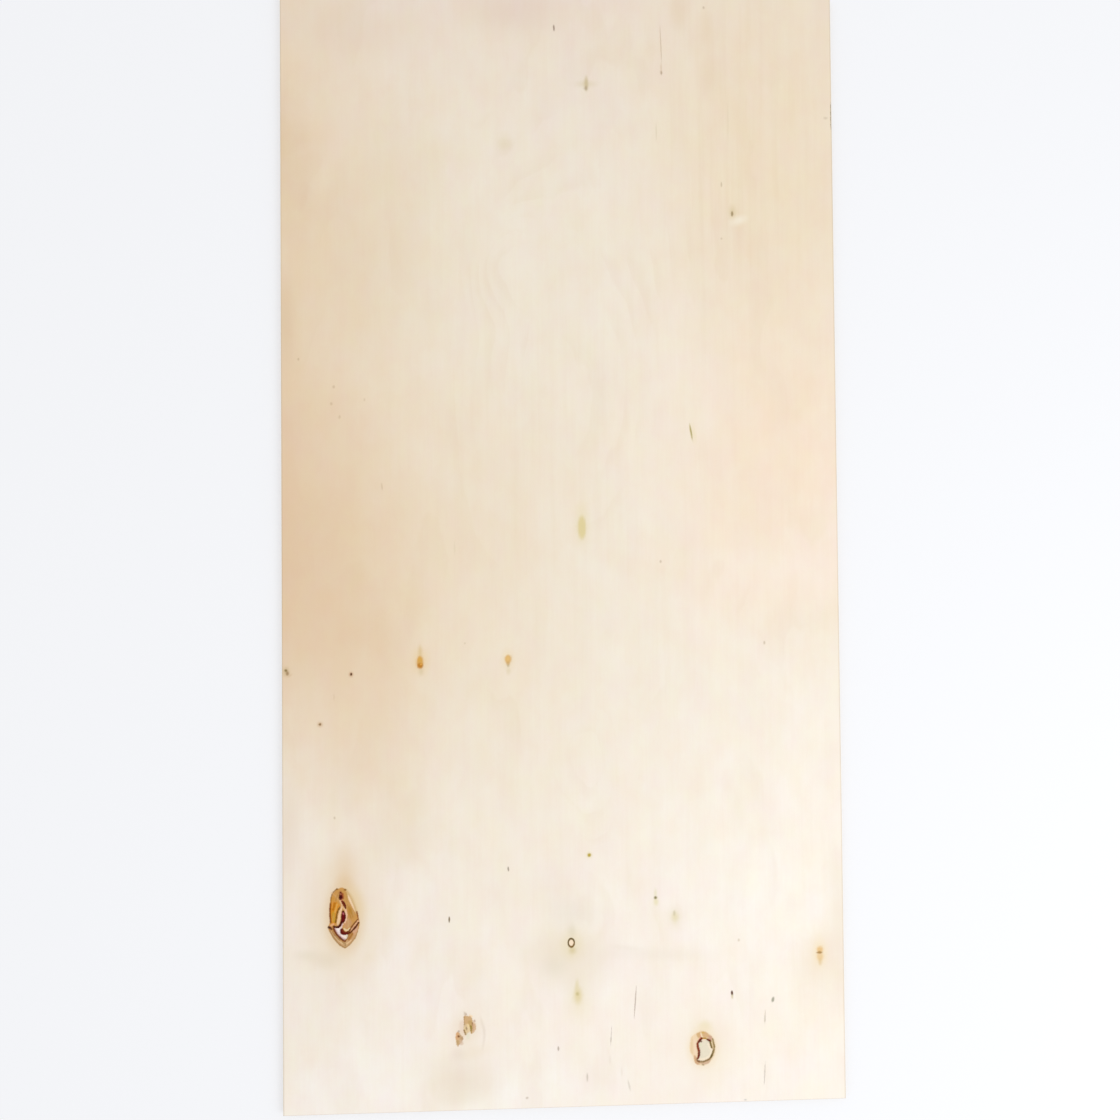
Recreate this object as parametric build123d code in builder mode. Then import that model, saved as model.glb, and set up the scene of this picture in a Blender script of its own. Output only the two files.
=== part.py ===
# Birch plywood sheet, lying on its back with the better face up.
# Millimetres. +X runs across the sheet, +Y along the grain of the face, +Z out of the face.
# The origin is the middle of the underside.
import os

from build123d import *

# The sheet: an odd number of veneers pressed together, then sawn to size
sheet_length = 1220.0
sheet_width = 610.0
veneer_thickness = 1.3
ply_count = 5
sheet_thickness = ply_count * veneer_thickness
arris_ease = 0.4
cut_overrun = 1.0

# Bark knot: an almond of dry knot wood, split by bark seams, with a gap down to the next veneer
bark_knot_width = 33.8
bark_knot_length = 64.5
bark_knot_place_shares = (-0.393, -0.329)
bark_seam_depth = 0.9
knot_sink = 0.25

# Its outline as shares of its width and length: a rounded crown above, two flanks meeting in a tip
crown_shares = (
    (0.50, -0.07),
    (0.41, 0.10),
    (0.24, 0.33),
    (0.08, 0.47),
    (-0.13, 0.50),
    (-0.37, 0.38),
    (-0.45, 0.12),
    (-0.43, -0.05),
    (-0.50, -0.15),
)
left_flank_share = (-0.26, -0.38)
tip_share = (0.05, -0.50)
right_flank_share = (0.37, -0.33)

# Its bark seams and its gap, as shares of the same width and length
upper_seam_shares = ((-0.07, 0.28), (0.00, 0.27), (0.06, 0.20), (0.06, 0.15), (0.01, 0.19), (-0.05, 0.24))
long_seam_shares = (
    (-0.02, 0.12),
    (0.05, 0.06),
    (0.04, -0.03),
    (-0.06, -0.11),
    (-0.15, -0.16),
    (-0.24, -0.17),
    (-0.31, -0.14),
    (-0.20, -0.14),
    (-0.12, -0.09),
    (-0.08, -0.02),
    (-0.07, 0.06),
)
lower_seam_shares = (
    (-0.06, -0.18),
    (0.00, -0.21),
    (0.05, -0.24),
    (0.15, -0.22),
    (0.31, -0.14),
    (0.48, -0.08),
    (0.36, -0.18),
    (0.19, -0.25),
    (0.06, -0.28),
    (-0.06, -0.27),
    (-0.11, -0.22),
)
bark_spot_shares = ((-0.10, 0.43), (-0.05, 0.38), (-0.05, 0.32), (-0.10, 0.30), (-0.14, 0.35))
gap_shares = (
    (-0.29, -0.17),
    (-0.17, -0.17),
    (-0.08, -0.13),
    (-0.02, -0.09),
    (-0.05, -0.16),
    (-0.11, -0.21),
    (-0.07, -0.28),
    (0.11, -0.28),
    (0.08, -0.35),
    (-0.04, -0.37),
    (-0.15, -0.32),
    (-0.25, -0.24),
)

# Open knot: a sunk collar of knot wood, and the hole that the lost knot left in the face veneer
open_knot_width = 28.0
open_knot_length = 36.9
open_knot_place_shares = (0.242, -0.4515)
collar_shares = (
    (-0.06, 0.50),
    (0.21, 0.43),
    (0.43, 0.26),
    (0.50, 0.02),
    (0.43, -0.24),
    (0.20, -0.45),
    (-0.06, -0.50),
    (-0.31, -0.41),
    (-0.37, -0.22),
    (-0.48, -0.09),
    (-0.48, 0.14),
    (-0.37, 0.35),
)
hole_width = 18.3
hole_length = 24.3
hole_place_shares = (0.2464, -0.4538)
hole_shares = (
    (-0.18, 0.49),
    (0.04, 0.50),
    (0.28, 0.41),
    (0.35, 0.22),
    (0.40, 0.10),
    (0.50, 0.00),
    (0.46, -0.18),
    (0.36, -0.34),
    (0.18, -0.45),
    (-0.08, -0.50),
    (-0.36, -0.48),
    (-0.49, -0.39),
    (-0.37, -0.26),
    (-0.33, -0.08),
    (-0.37, 0.10),
    (-0.42, 0.26),
    (-0.34, 0.40),
)

# Torn grain: two shallow places where slivers of the face lifted away
torn_depth = 0.4
upper_tear_width = 12.8
upper_tear_length = 18.6
upper_tear_place_shares = (-0.172, -0.425)
upper_tear_shares = (
    (-0.50, 0.49),
    (-0.23, 0.50),
    (0.12, 0.43),
    (0.22, 0.12),
    (0.43, 0.02),
    (0.50, -0.15),
    (0.39, -0.40),
    (0.12, -0.50),
    (-0.01, -0.42),
    (-0.08, -0.16),
    (-0.24, -0.04),
    (-0.47, 0.04),
)
lower_tear_width = 8.2
lower_tear_length = 15.8
lower_tear_place_shares = (-0.1913, -0.4375)
lower_tear_shares = (
    (-0.37, 0.47),
    (-0.05, 0.50),
    (0.16, 0.33),
    (0.49, 0.12),
    (0.40, -0.10),
    (0.08, -0.34),
    (-0.17, -0.50),
    (-0.40, -0.33),
    (-0.50, 0.02),
    (-0.49, 0.29),
)

# Ring knot: a small round knot that shrank away from the wood around it
ring_width = 7.6
ring_length = 10.6
ring_groove_width = 1.3
ring_groove_depth = 0.5
ring_place_shares = (0.0085, -0.3555)

# Checks: slender drying splits along the grain, lens-shaped.
# Each row is a place across and along the sheet, then the share of the longest check's length
check_length = 40.0
check_width = 0.8
check_depth = 0.5
check_shares = (
    (0.1220, -0.4085, 0.80),
    (0.0780, -0.4385, 0.52),
    (0.3552, -0.4246, 0.33),
    (0.3532, -0.4760, 0.58),
    (0.1866, 0.4553, 1.00),
    (0.2339, 0.1009, 0.45),
)

# Splintered arris on the right-hand edge, near the far end
splinter_length = 33.0
splinter_reach = 1.1
splinter_depth = 0.7
splinter_place_share = 0.3906


def face_plane(place_shares, depth):
    across_share, along_share = place_shares
    return Plane(origin=(sheet_width * across_share, sheet_length * along_share, sheet_thickness - depth))


def outline(shares, width, length):
    return [(width * across_share, length * along_share) for across_share, along_share in shares]


# Each pocket with a free outline: its depth, place, width, length and outline
knot_at = (bark_knot_place_shares, bark_knot_width, bark_knot_length)
pockets = (
    (bark_seam_depth, *knot_at, upper_seam_shares),
    (bark_seam_depth, *knot_at, long_seam_shares),
    (bark_seam_depth, *knot_at, lower_seam_shares),
    (bark_seam_depth, *knot_at, bark_spot_shares),
    (veneer_thickness, *knot_at, gap_shares),
    (knot_sink, open_knot_place_shares, open_knot_width, open_knot_length, collar_shares),
    (veneer_thickness, hole_place_shares, hole_width, hole_length, hole_shares),
    (torn_depth, upper_tear_place_shares, upper_tear_width, upper_tear_length, upper_tear_shares),
    (torn_depth, lower_tear_place_shares, lower_tear_width, lower_tear_length, lower_tear_shares),
)

with BuildPart() as plywood_sheet:
    with BuildSketch():
        Rectangle(sheet_width, sheet_length)
    extrude(amount=sheet_thickness)
    flat_faces = plywood_sheet.faces().filter_by(Axis.Z)
    chamfer(flat_faces.edges(), length=arris_ease)

    # The almond of the bark knot, a little below the sanded face
    with BuildSketch(face_plane(bark_knot_place_shares, knot_sink)):
        crown = outline(crown_shares, bark_knot_width, bark_knot_length)
        left_flank, tip, right_flank = outline(
            (left_flank_share, tip_share, right_flank_share), bark_knot_width, bark_knot_length
        )
        with BuildLine():
            Spline(*crown)
            ThreePointArc(crown[-1], left_flank, tip)
            ThreePointArc(tip, right_flank, crown[0])
        make_face()
    extrude(amount=knot_sink + cut_overrun, mode=Mode.SUBTRACT)

    # Seams, gaps, the knot hole and the torn grain
    for depth, place_shares, width, length, shares in pockets:
        with BuildSketch(face_plane(place_shares, depth)):
            with BuildLine():
                Spline(*outline(shares, width, length), periodic=True)
            make_face()
        extrude(amount=depth + cut_overrun, mode=Mode.SUBTRACT)

    # The groove round the ring knot
    with BuildSketch(face_plane(ring_place_shares, ring_groove_depth)):
        Ellipse(ring_width / 2, ring_length / 2)
        Ellipse(ring_width / 2 - ring_groove_width, ring_length / 2 - ring_groove_width, mode=Mode.SUBTRACT)
    extrude(amount=ring_groove_depth + cut_overrun, mode=Mode.SUBTRACT)

    # Checks, each a lens between two arcs
    for across_share, along_share, length_share in check_shares:
        half_length = check_length * length_share / 2
        half_width = check_width / 2
        with BuildSketch(face_plane((across_share, along_share), check_depth)):
            with BuildLine():
                ThreePointArc((0, -half_length), (half_width, 0), (0, half_length))
                ThreePointArc((0, half_length), (-half_width, 0), (0, -half_length))
            make_face()
        extrude(amount=check_depth + cut_overrun, mode=Mode.SUBTRACT)

    # The splinter, a shallow arc bitten out of the right-hand arris
    splinter_plane = Plane(
        origin=(sheet_width / 2, sheet_length * splinter_place_share, sheet_thickness - splinter_depth)
    )
    with BuildSketch(splinter_plane):
        with BuildLine():
            Polyline(
                (0, -splinter_length / 2),
                (cut_overrun, -splinter_length / 2),
                (cut_overrun, splinter_length / 2),
                (0, splinter_length / 2),
            )
            ThreePointArc((0, splinter_length / 2), (-splinter_reach, 0), (0, -splinter_length / 2))
        make_face()
    extrude(amount=splinter_depth + cut_overrun, mode=Mode.SUBTRACT)

plywood_sheet.part.label = "plywood_sheet"
os.makedirs("parts", exist_ok=True)
export_step(plywood_sheet.part, "parts/plywood_sheet.step")
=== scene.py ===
# Birch plywood sheet lying flat on a pale floor, seen from above.
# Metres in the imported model's frame; the tables below are in millimetres from the middle of the sheet.
import math

import bmesh
import bpy
import numpy as np
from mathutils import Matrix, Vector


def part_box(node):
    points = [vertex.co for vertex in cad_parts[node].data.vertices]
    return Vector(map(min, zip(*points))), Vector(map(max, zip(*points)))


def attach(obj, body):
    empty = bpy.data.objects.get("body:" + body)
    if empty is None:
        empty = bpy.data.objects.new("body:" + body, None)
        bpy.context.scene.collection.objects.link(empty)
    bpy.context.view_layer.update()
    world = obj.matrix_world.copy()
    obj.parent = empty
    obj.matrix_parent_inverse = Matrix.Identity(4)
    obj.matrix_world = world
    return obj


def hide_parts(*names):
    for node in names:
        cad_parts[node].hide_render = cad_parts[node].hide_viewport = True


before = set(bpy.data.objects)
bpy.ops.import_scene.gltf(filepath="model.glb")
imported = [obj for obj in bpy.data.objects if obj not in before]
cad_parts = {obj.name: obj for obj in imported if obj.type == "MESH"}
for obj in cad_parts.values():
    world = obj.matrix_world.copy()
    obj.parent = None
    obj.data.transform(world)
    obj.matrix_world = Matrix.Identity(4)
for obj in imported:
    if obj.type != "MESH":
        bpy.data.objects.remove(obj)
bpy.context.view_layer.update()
lowCorner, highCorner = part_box("plywood_sheet")
sheetSize = [1000 * (high - low) for low, high in zip(lowCorner, highCorner)]  # width, length, thickness, mm
halfWidth, halfLength, faceHeight = sheetSize[0] / 2, sheetSize[1] / 2, sheetSize[2]
faceFrom = 0.85 * faceHeight  # points above this height belong to the face
print("frame loaded, sheet", [round(size, 2) for size in sheetSize], "mm")


def linear(hexColour):
    parts = [int(hexColour[i:i + 2], 16) / 255 for i in (1, 3, 5)]
    return [p / 12.92 if p <= 0.04045 else ((p + 0.055) / 1.055) ** 2.4 for p in parts]


def rgba(hexColour):
    return (*linear(hexColour), 1.0)


def addObject(name, data):
    made = bpy.data.objects.new(name, data)
    bpy.context.collection.objects.link(made)
    return made


# Adds a node, of a shader kind unless the name says otherwise. Settings go to its properties, or to its
# inputs by name or number. Links come from a socket, or from the first output that a node has in use.
def addNode(tree, kind, settings=None, links=None):
    node = tree.nodes.new(kind if "Node" in kind else "ShaderNode" + kind)
    for key, value in (settings or {}).items():
        if isinstance(key, str) and hasattr(node, key):
            setattr(node, key, value)
        else:
            node.inputs[key].default_value = value
    for key, source in (links or {}).items():
        if isinstance(source, bpy.types.Node):
            source = next(output for output in source.outputs if output.enabled)
        tree.links.new(source, node.inputs[key])
    return node


# The two big knots, the torn grain and the ring knot. Outlines are shares of width and length, as the solid
# has them; other places in a knot are mm from its middle, and its paint stays within its reach.
# An area has a colour, the width of its soft edge, a strength and its corners. A line has a colour, a width,
# a strength and its points. Glints are lines that are drawn over the bark and the floor.
# Wander is how far, in mm, an edge sways with the fibres.
barkKnot = {
    "middle": (-239.9, -400.9),
    "size": (33.8, 64.5),
    "reach": (25, 42),
    "wander": 0.25,
    "sink": 0.25,
    "seamDepth": 0.9,
    "gapDepth": 1.3,
    "wood": "#CC9650",
    "bark": "#5A0A04",
    "floor": "#FFF3EC",
    "rings": [(2.6, "#9A6420", 0.22), (1.7, "#F0D4A4", 0.2)],  # growth rings: pitch, colour, strength
    "outline": [
        (0.5, -0.07), (0.41, 0.1), (0.24, 0.33), (0.08, 0.47), (-0.13, 0.5), (-0.37, 0.38), (-0.45, 0.12),
        (-0.43, -0.05), (-0.5, -0.15), (-0.41, -0.27), (-0.26, -0.38), (-0.11, -0.46), (0.05, -0.5),
        (0.22, -0.43), (0.37, -0.33), (0.46, -0.2),
    ],
    "seams": [
        [(-0.07, 0.28), (0, 0.27), (0.06, 0.2), (0.06, 0.15), (0.01, 0.19), (-0.05, 0.24)],
        [
            (-0.02, 0.12), (0.05, 0.06), (0.04, -0.03), (-0.06, -0.11), (-0.15, -0.16), (-0.24, -0.17),
            (-0.31, -0.14), (-0.2, -0.14), (-0.12, -0.09), (-0.08, -0.02), (-0.07, 0.06),
        ],
        [
            (-0.06, -0.18), (0, -0.21), (0.05, -0.24), (0.15, -0.22), (0.31, -0.14), (0.48, -0.08),
            (0.36, -0.18), (0.19, -0.25), (0.06, -0.28), (-0.06, -0.27), (-0.11, -0.22),
        ],
        [(-0.1, 0.43), (-0.05, 0.38), (-0.05, 0.32), (-0.1, 0.3), (-0.14, 0.35)],
    ],
    "gap": [
        (-0.29, -0.17), (-0.17, -0.17), (-0.08, -0.13), (-0.02, -0.09), (-0.05, -0.16), (-0.11, -0.21),
        (-0.07, -0.28), (0.11, -0.28), (0.08, -0.35), (-0.04, -0.37), (-0.15, -0.32), (-0.25, -0.24),
    ],
    "areas": [
        ("#DCBE8C", 3.4, 0.9, [(2.5, 31), (8, 25), (12, 16), (15, 6), (13, 5), (10, 11), (7, 17.5), (4, 24)]),
        ("#D0902E", 4, 0.6, [(-13.4, 21.5), (-9, 22), (-6.4, 17), (-6.8, 11), (-13.4, 11)]),
        ("#D98A1C", 2.8, 1, [
            (-13.9, 15.5), (-9.6, 17.5), (-5.7, 15), (-4.3, 12.3), (-6.8, 6.8), (-8.5, -1.9), (-9.3, -6.4),
            (-12.3, -6.6), (-14.2, -3), (-14.7, 6.8),
        ]),
        ("#C4962A", 2, 0.85, [(-12.4, 6), (-9.6, 6.5), (-9, 0), (-9.2, -4.5), (-11.8, -4), (-12.6, 1)]),
        ("#BC863A", 3, 0.9, [(4.6, 14), (7.9, 10.5), (10.2, 5), (10.4, 0.5), (8, -1), (5, 1.5), (4.2, 8)]),
        ("#B4802A", 2.6, 0.6, [(5.6, 11.8), (8.4, 9.6), (9.8, 5.4), (8.6, 3.6), (6, 7)]),
        ("#CA986C", 2.4, 0.85, [(2, 0), (7, -2.5), (8.5, -6), (5.2, -10.5), (1.9, -11.6), (0.6, -7)]),
        ("#F2CCA4", 1, 1, [
            (-1.9, 14.5), (-3.3, 10.1), (-5.2, 6.8), (-6.8, -1.9), (-7.4, -6.8), (-5.9, -7.4), (-4.2, -3),
            (-3, 4.6), (-1.8, 10.1),
        ]),
        ("#F6D6B2", 1.2, 0.95, [
            (4.4, 24), (6.2, 22.4), (9.6, 14.5), (12.2, 7), (10.8, 8), (7.6, 14.5), (5, 19.9),
        ]),
        ("#C89C72", 1.4, 0.9, [
            (-15, -13), (-11, -16), (-6, -22), (0, -26.5), (5, -21), (9, -16), (14, -9), (14.6, -14),
            (11, -22), (1.7, -31.8), (-6.8, -26.5),
        ]),
        ("#CDA878", 1.8, 0.8, [(-3.4, -26.6), (1.6, -26.2), (6.2, -25.8), (1.7, -30.6)]),
        ("#BA8246", 1.8, 0.9, [(4.8, -20.5), (8.4, -16.6), (11.2, -16.2), (9.8, -20), (6, -24.6)]),
        ("#D9A684", 1.8, 0.85, [
            (9.8, -13.6), (13.8, -8.4), (15, -9.5), (14.2, -15), (11.6, -18.5), (9.4, -17),
        ]),
    ],
    "lines": [
        ("#82460A", 1.8, 0.95, [(-14.3, 15), (-14.7, 8), (-14.5, 1), (-14, -4.6)]),
        ("#94641E", 1.2, 0.85, [(-6.8, 31.6), (-11, 28.1), (-13.3, 23.2), (-14, 16.5)]),
        ("#B8700C", 2.2, 0.9, [(-9.5, 16), (-10.4, 12.5), (-11.4, 9.2)]),
        ("#E0AE58", 1.8, 0.7, [(-7, 14.6), (-8.2, 10.5), (-9.4, 6.5)]),
        ("#7E5206", 1.6, 0.95, [(-4.4, 11.4), (-6, 8.4), (-7.4, 4), (-8.1, -0.4), (-8.8, -4.6)]),
        ("#D8A66C", 1.2, 0.6, [(-13, 27), (-9.5, 24.5), (-5.5, 19)]),
        ("#B08044", 1, 0.6, [(-4.8, 28), (-7.5, 22.5), (-8.8, 18.5)]),
        ("#BF9350", 1.4, 0.7, [(2.6, 26.5), (3.4, 21.5), (4, 17)]),
        ("#D9B684", 1, 0.6, [(3, 29), (6.6, 24.4), (9.8, 18.4), (13, 10)]),
        ("#C39A5C", 1, 0.55, [(6.8, 12.4), (9.2, 7.6), (10.6, 2.6)]),
        ("#D2AE76", 1.2, 0.6, [(3.6, -1.6), (5.4, -5.4), (4.6, -9.6)]),
        ("#E9BE92", 1.1, 0.95, [(-4.2, 18.6), (-2.2, 14.6), (-1.3, 10.4)]),
        ("#F0D2A6", 0.9, 0.9, [(-0.6, 15.2), (0.2, 12), (0.4, 9.6)]),
        ("#EFC4A4", 2, 0.95, [(2, 8.4), (3, 3), (2.2, -2), (1, -4.6)]),
        ("#94561E", 1.6, 0.9, [(14, 6.2), (14.9, 2), (15.4, -2)]),
        ("#C08A58", 1.3, 0.8, [(15.2, -0.6), (16.2, -4.4)]),
        ("#6E3010", 2.2, 1, [
            (-10.9, -9), (-10.2, -13), (-7.7, -17.6), (-4.1, -21.3), (-1, -24), (1.1, -24.6),
        ]),
        ("#9A6426", 1.5, 0.9, [(1.2, -24.2), (3.2, -22.6), (4.6, -19.4), (6.6, -16.4)]),
        ("#A06A24", 1.3, 0.8, [(4.6, -23.4), (7.4, -19.8), (9.6, -16.6)]),
        ("#CFA26E", 1.1, 0.7, [(6.4, -24.8), (9.6, -20.4), (12.6, -15.4)]),
        ("#EBD6A8", 1.5, 0.95, [(0.6, -11.8), (2.4, -13.4), (4.4, -13.2), (6.4, -11.2)]),
        ("#A07C48", 1.3, 0.8, [(-15.2, -13.1), (-11.9, -19.4), (-7, -26.3), (-2.1, -30.4), (1.7, -31.8)]),
        ("#B08C5C", 1.2, 0.6, [(1.7, -31.8), (6.3, -28.8), (12.3, -21.4), (14.9, -13.9)]),
        ("#E2C492", 1.2, 0.75, [(-9.6, -19.4), (-5.4, -24.2), (-1.4, -27.6)]),
        ("#8E6230", 1, 0.7, [(-12.4, -14.6), (-9.2, -19), (-4.8, -24)]),
        ("#EBC594", 1.3, 0.8, [(2.8, -27.8), (5.4, -26.2), (7.6, -24)]),
        ("#A98556", 1.6, 0.8, [(-1.2, -26.4), (1.2, -27.2), (1.6, -29.6)]),
        ("#8A5C1E", 1.7, 0.9, [(-7.4, 30.7), (-6.8, 30.9)]),
        ("#8E6014", 2.2, 0.9, [(1.4, 30.2), (2, 30)]),
        ("#E9AE80", 1.8, 0.9, [(-14.4, -8.4), (-12.6, -7.2), (-11, -6.2)]),
    ],
    "glints": [
        ("#9A4020", 2.8, 0.85, [(-1.5, 25.4), (-1, 21.6)]),
        ("#4A0206", 3.4, 1, [(-3.6, 22.9), (-3.2, 21)]),
        ("#93482A", 2.4, 0.8, [(-3.4, 27.6), (-3.2, 25.2)]),
        ("#5A0A06", 1.2, 0.9, [(-3.5, 27), (-3.5, 26.6)]),
        ("#C98A6A", 0.9, 0.7, [(-3.4, 25.6), (-3, 25)]),
        ("#A8503C", 1.6, 0.85, [(-2.6, 19.6), (-1.3, 17.8)]),
        ("#D98A70", 0.9, 0.7, [(-2.5, 19.2), (-2.1, 18.8)]),
        ("#7E2A0C", 1.6, 0.85, [(-1.7, 17.2), (0.2, 14), (1.3, 11)]),
        ("#6E0008", 2.6, 0.8, [(-0.6, 2.5), (-0.7, -2)]),
        ("#C86A70", 1.5, 0.85, [(-0.9, 4.8), (-0.5, 3.9)]),
        ("#4A0C06", 1.9, 0.8, [(-2.4, -5.5), (-4.4, -8.6), (-7.6, -10.2), (-10.6, -8.8)]),
        ("#C8968A", 2, 0.6, [(-9.2, -12.2), (-6.2, -17.2), (-2.4, -21.6), (0.6, -22.8)]),
        ("#7A3A14", 1.5, 0.95, [
            (-10.9, -9.6), (-10, -13.2), (-7.4, -17.8), (-3.9, -21.5), (-0.9, -24.1), (1.4, -24.6),
        ]),
        ("#F0CFC4", 1.4, 0.8, [(-1, -6.4), (-2.4, -9.2), (-4, -11.2)]),
        ("#F3E0E2", 2.2, 0.7, [(-7.2, -13.2), (-5.8, -16.2)]),
        ("#FBD8CC", 1.6, 0.7, [(-1.6, -19.8), (0.4, -20.2)]),
        ("#F4E8C8", 2.2, 0.85, [(1.6, -20.4), (3.2, -19.4)]),
        ("#680E04", 3.2, 1, [(-2.7, -13.4), (-2.2, -16.2), (0.4, -17.2), (3.6, -16.4)]),
        ("#8A3A18", 1.8, 0.75, [(-1.2, -13.4), (-0.2, -15)]),
        ("#C58A58", 2.6, 0.9, [(7.2, -14.2), (10.6, -10), (13.6, -6.6)]),
        ("#7E481C", 1.6, 0.95, [(4.6, -15.6), (7.5, -11), (11.1, -6.3), (14.8, -2.3)]),
        ("#E8B68C", 1.6, 0.95, [(8.2, -13.2), (10.8, -9.7), (13.4, -6.2), (15.3, -3.8)]),
        ("#6A3412", 1.5, 0.95, [(7.2, -16.2), (10.4, -12), (13.5, -8.2), (15.6, -5.5)]),
        ("#3A0A04", 2.8, 0.95, [(-15.9, -9.6), (-15.3, -10)]),
        ("#5A160C", 2.5, 0.9, [(-13.8, -11), (-13.2, -11.8)]),
    ],
}

openKnot = {
    "middle": (147.6, -550.8),
    "size": (28, 36.9),
    "reach": (22, 28),
    "wander": 0.25,
    "sink": 0.25,
    "holeMiddle": (150.3, -553.6),
    "holeSize": (18.3, 24.3),
    "holeDepth": 1.3,
    "wood": "#E8CCA4",
    # the next ply's colour, laid darker as painted shade of the hole's recess
    "floor": "#E9DFC8",
    "outline": [
        (-0.06, 0.5), (0.21, 0.43), (0.43, 0.26), (0.5, 0.02), (0.43, -0.24), (0.2, -0.45), (-0.06, -0.5),
        (-0.31, -0.41), (-0.37, -0.22), (-0.48, -0.09), (-0.48, 0.14), (-0.37, 0.35),
    ],
    "hole": [
        (-0.18, 0.49), (0.04, 0.5), (0.28, 0.41), (0.35, 0.22), (0.4, 0.1), (0.5, 0), (0.46, -0.18),
        (0.36, -0.34), (0.18, -0.45), (-0.08, -0.5), (-0.36, -0.48), (-0.49, -0.39), (-0.37, -0.26),
        (-0.33, -0.08), (-0.37, 0.1), (-0.42, 0.26), (-0.34, 0.4),
    ],
    "areas": [
        ("#F0D6B2", 2.6, 0.95, [
            (-11, 12.9), (-7.9, 14.7), (-5.3, 10.3), (-6, 5), (-5.9, -0.9), (-5.3, -6.5), (-6, -10.3),
            (-9.1, -8.4), (-12.5, -5), (-13, 0.6), (-11.6, 8.4),
        ]),
        ("#E8CDA6", 1.8, 0.75, [
            (-12.6, 11), (-10.8, 12.5), (-10.4, 4), (-10.8, -5), (-12.6, -4.5), (-13.6, 1),
        ]),
        ("#F4DABC", 1.8, 0.85, [(-9.4, 10), (-6.8, 6), (-6.4, -2), (-6.6, -7), (-8.8, -6), (-9.6, 2)]),
        ("#D4AE7C", 1.8, 0.95, [
            (-6.2, 15.8), (-3, 17), (-1.6, 14.6), (-1.6, 11.4), (-3.8, 11), (-5.7, 12.6),
        ]),
        ("#D6AE80", 2, 0.95, [
            (-0.6, 17.6), (2.2, 17.6), (5.6, 16), (8, 12.6), (5, 10.8), (1.5, 11.6), (-0.4, 13.6),
        ]),
        ("#CBA086", 1.8, 0.9, [(7, 13.2), (9.6, 12.6), (11, 10.2), (9.4, 8.2), (6.6, 10.2)]),
        ("#CCA078", 1.6, 0.9, [
            (-9.4, -8), (-7.6, -9.1), (-6.8, -12.5), (-5.3, -15.5), (-3, -17), (-6, -17.6), (-8.7, -15.1),
        ]),
        ("#D0AC90", 1.4, 0.85, [(-3, -16.2), (2.3, -15.8), (7.2, -13.6), (8.6, -14), (5.3, -17), (0, -17.8)]),
        ("#E8D0A8", 0.9, 0.8, [(9.4, 7), (11.2, 8), (12, 3), (11, 0.5), (10.2, 3)]),
    ],
    "lines": [
        ("#D2AC60", 1.8, 0.8, [(0, 16.8), (1.8, 16.4)]),
        ("#F4DFBA", 1.3, 0.95, [(-1.6, 15.4), (-0.8, 13), (-0.4, 11.4)]),
        ("#E9A68C", 1.2, 0.85, [(-2.2, 13.6), (-2.2, 11.2), (-4.6, 8.6)]),
        ("#B08426", 1.7, 0.95, [(-0.6, 10.6), (2.4, 10.4), (5.4, 9)]),
        ("#86300A", 2.7, 1, [
            (-1.1, 10.3), (-3, 7.6), (-5.3, 5.2), (-5.1, 0.6), (-3.9, -3.6), (-3.9, -7.2), (-4.7, -10.4),
            (-5.4, -11.2),
        ]),
        ("#5E1A06", 3.1, 0.9, [(-2, 8.4), (-3.4, 7.2)]),
        ("#6A2208", 2.3, 0.8, [(-3.7, -4.4), (-3.7, -8), (-4.8, -10.8)]),
        ("#6E3A1E", 1.6, 0.85, [(-3.2, 6.6), (-1, 6.2)]),
        ("#6E2208", 2.6, 1, [(6, 8.7), (8.6, 7.2)]),
        ("#86703A", 1.7, 1, [(8.5, 6.4), (9.3, 2.8), (10.2, -0.2)]),
        ("#967E4C", 1.7, 1, [
            (11.3, 9.5), (11.9, 5.8), (12.9, 1.7), (12.5, -2.1), (11.7, -5), (10.2, -8.8), (8.3, -11.8),
        ]),
        ("#7A6838", 1.6, 0.8, [(10.4, -8.4), (9.4, -10.4)]),
        ("#A88A62", 1.6, 1, [
            (8.3, -12), (4.5, -14), (1.5, -15.1), (-2.3, -15.3), (-4.9, -14.4), (-6.8, -12.5),
        ]),
        ("#8A5A30", 1.6, 0.9, [(-5.8, -13.8), (-3.6, -15)]),
        ("#B29E78", 1.6, 0.85, [(0, -17.9), (0.8, -18.1)]),
    ],
    "glints": [
        ("#FAEAD0", 2.4, 0.85, [
            (6.9, 3.6), (8.6, -0.6), (10.4, -3), (9.6, -6.6), (7.2, -10), (3.2, -12.6), (-2, -13),
            (-4.4, -12.4),
        ]),
        ("#E2E3C2", 2.2, 0.75, [(-1.8, 3.6), (-1.6, 2)]),
        ("#FBE2CC", 1.8, 0.8, [(0.4, 8.4), (2.6, 8.2)]),
    ],
}

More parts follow.
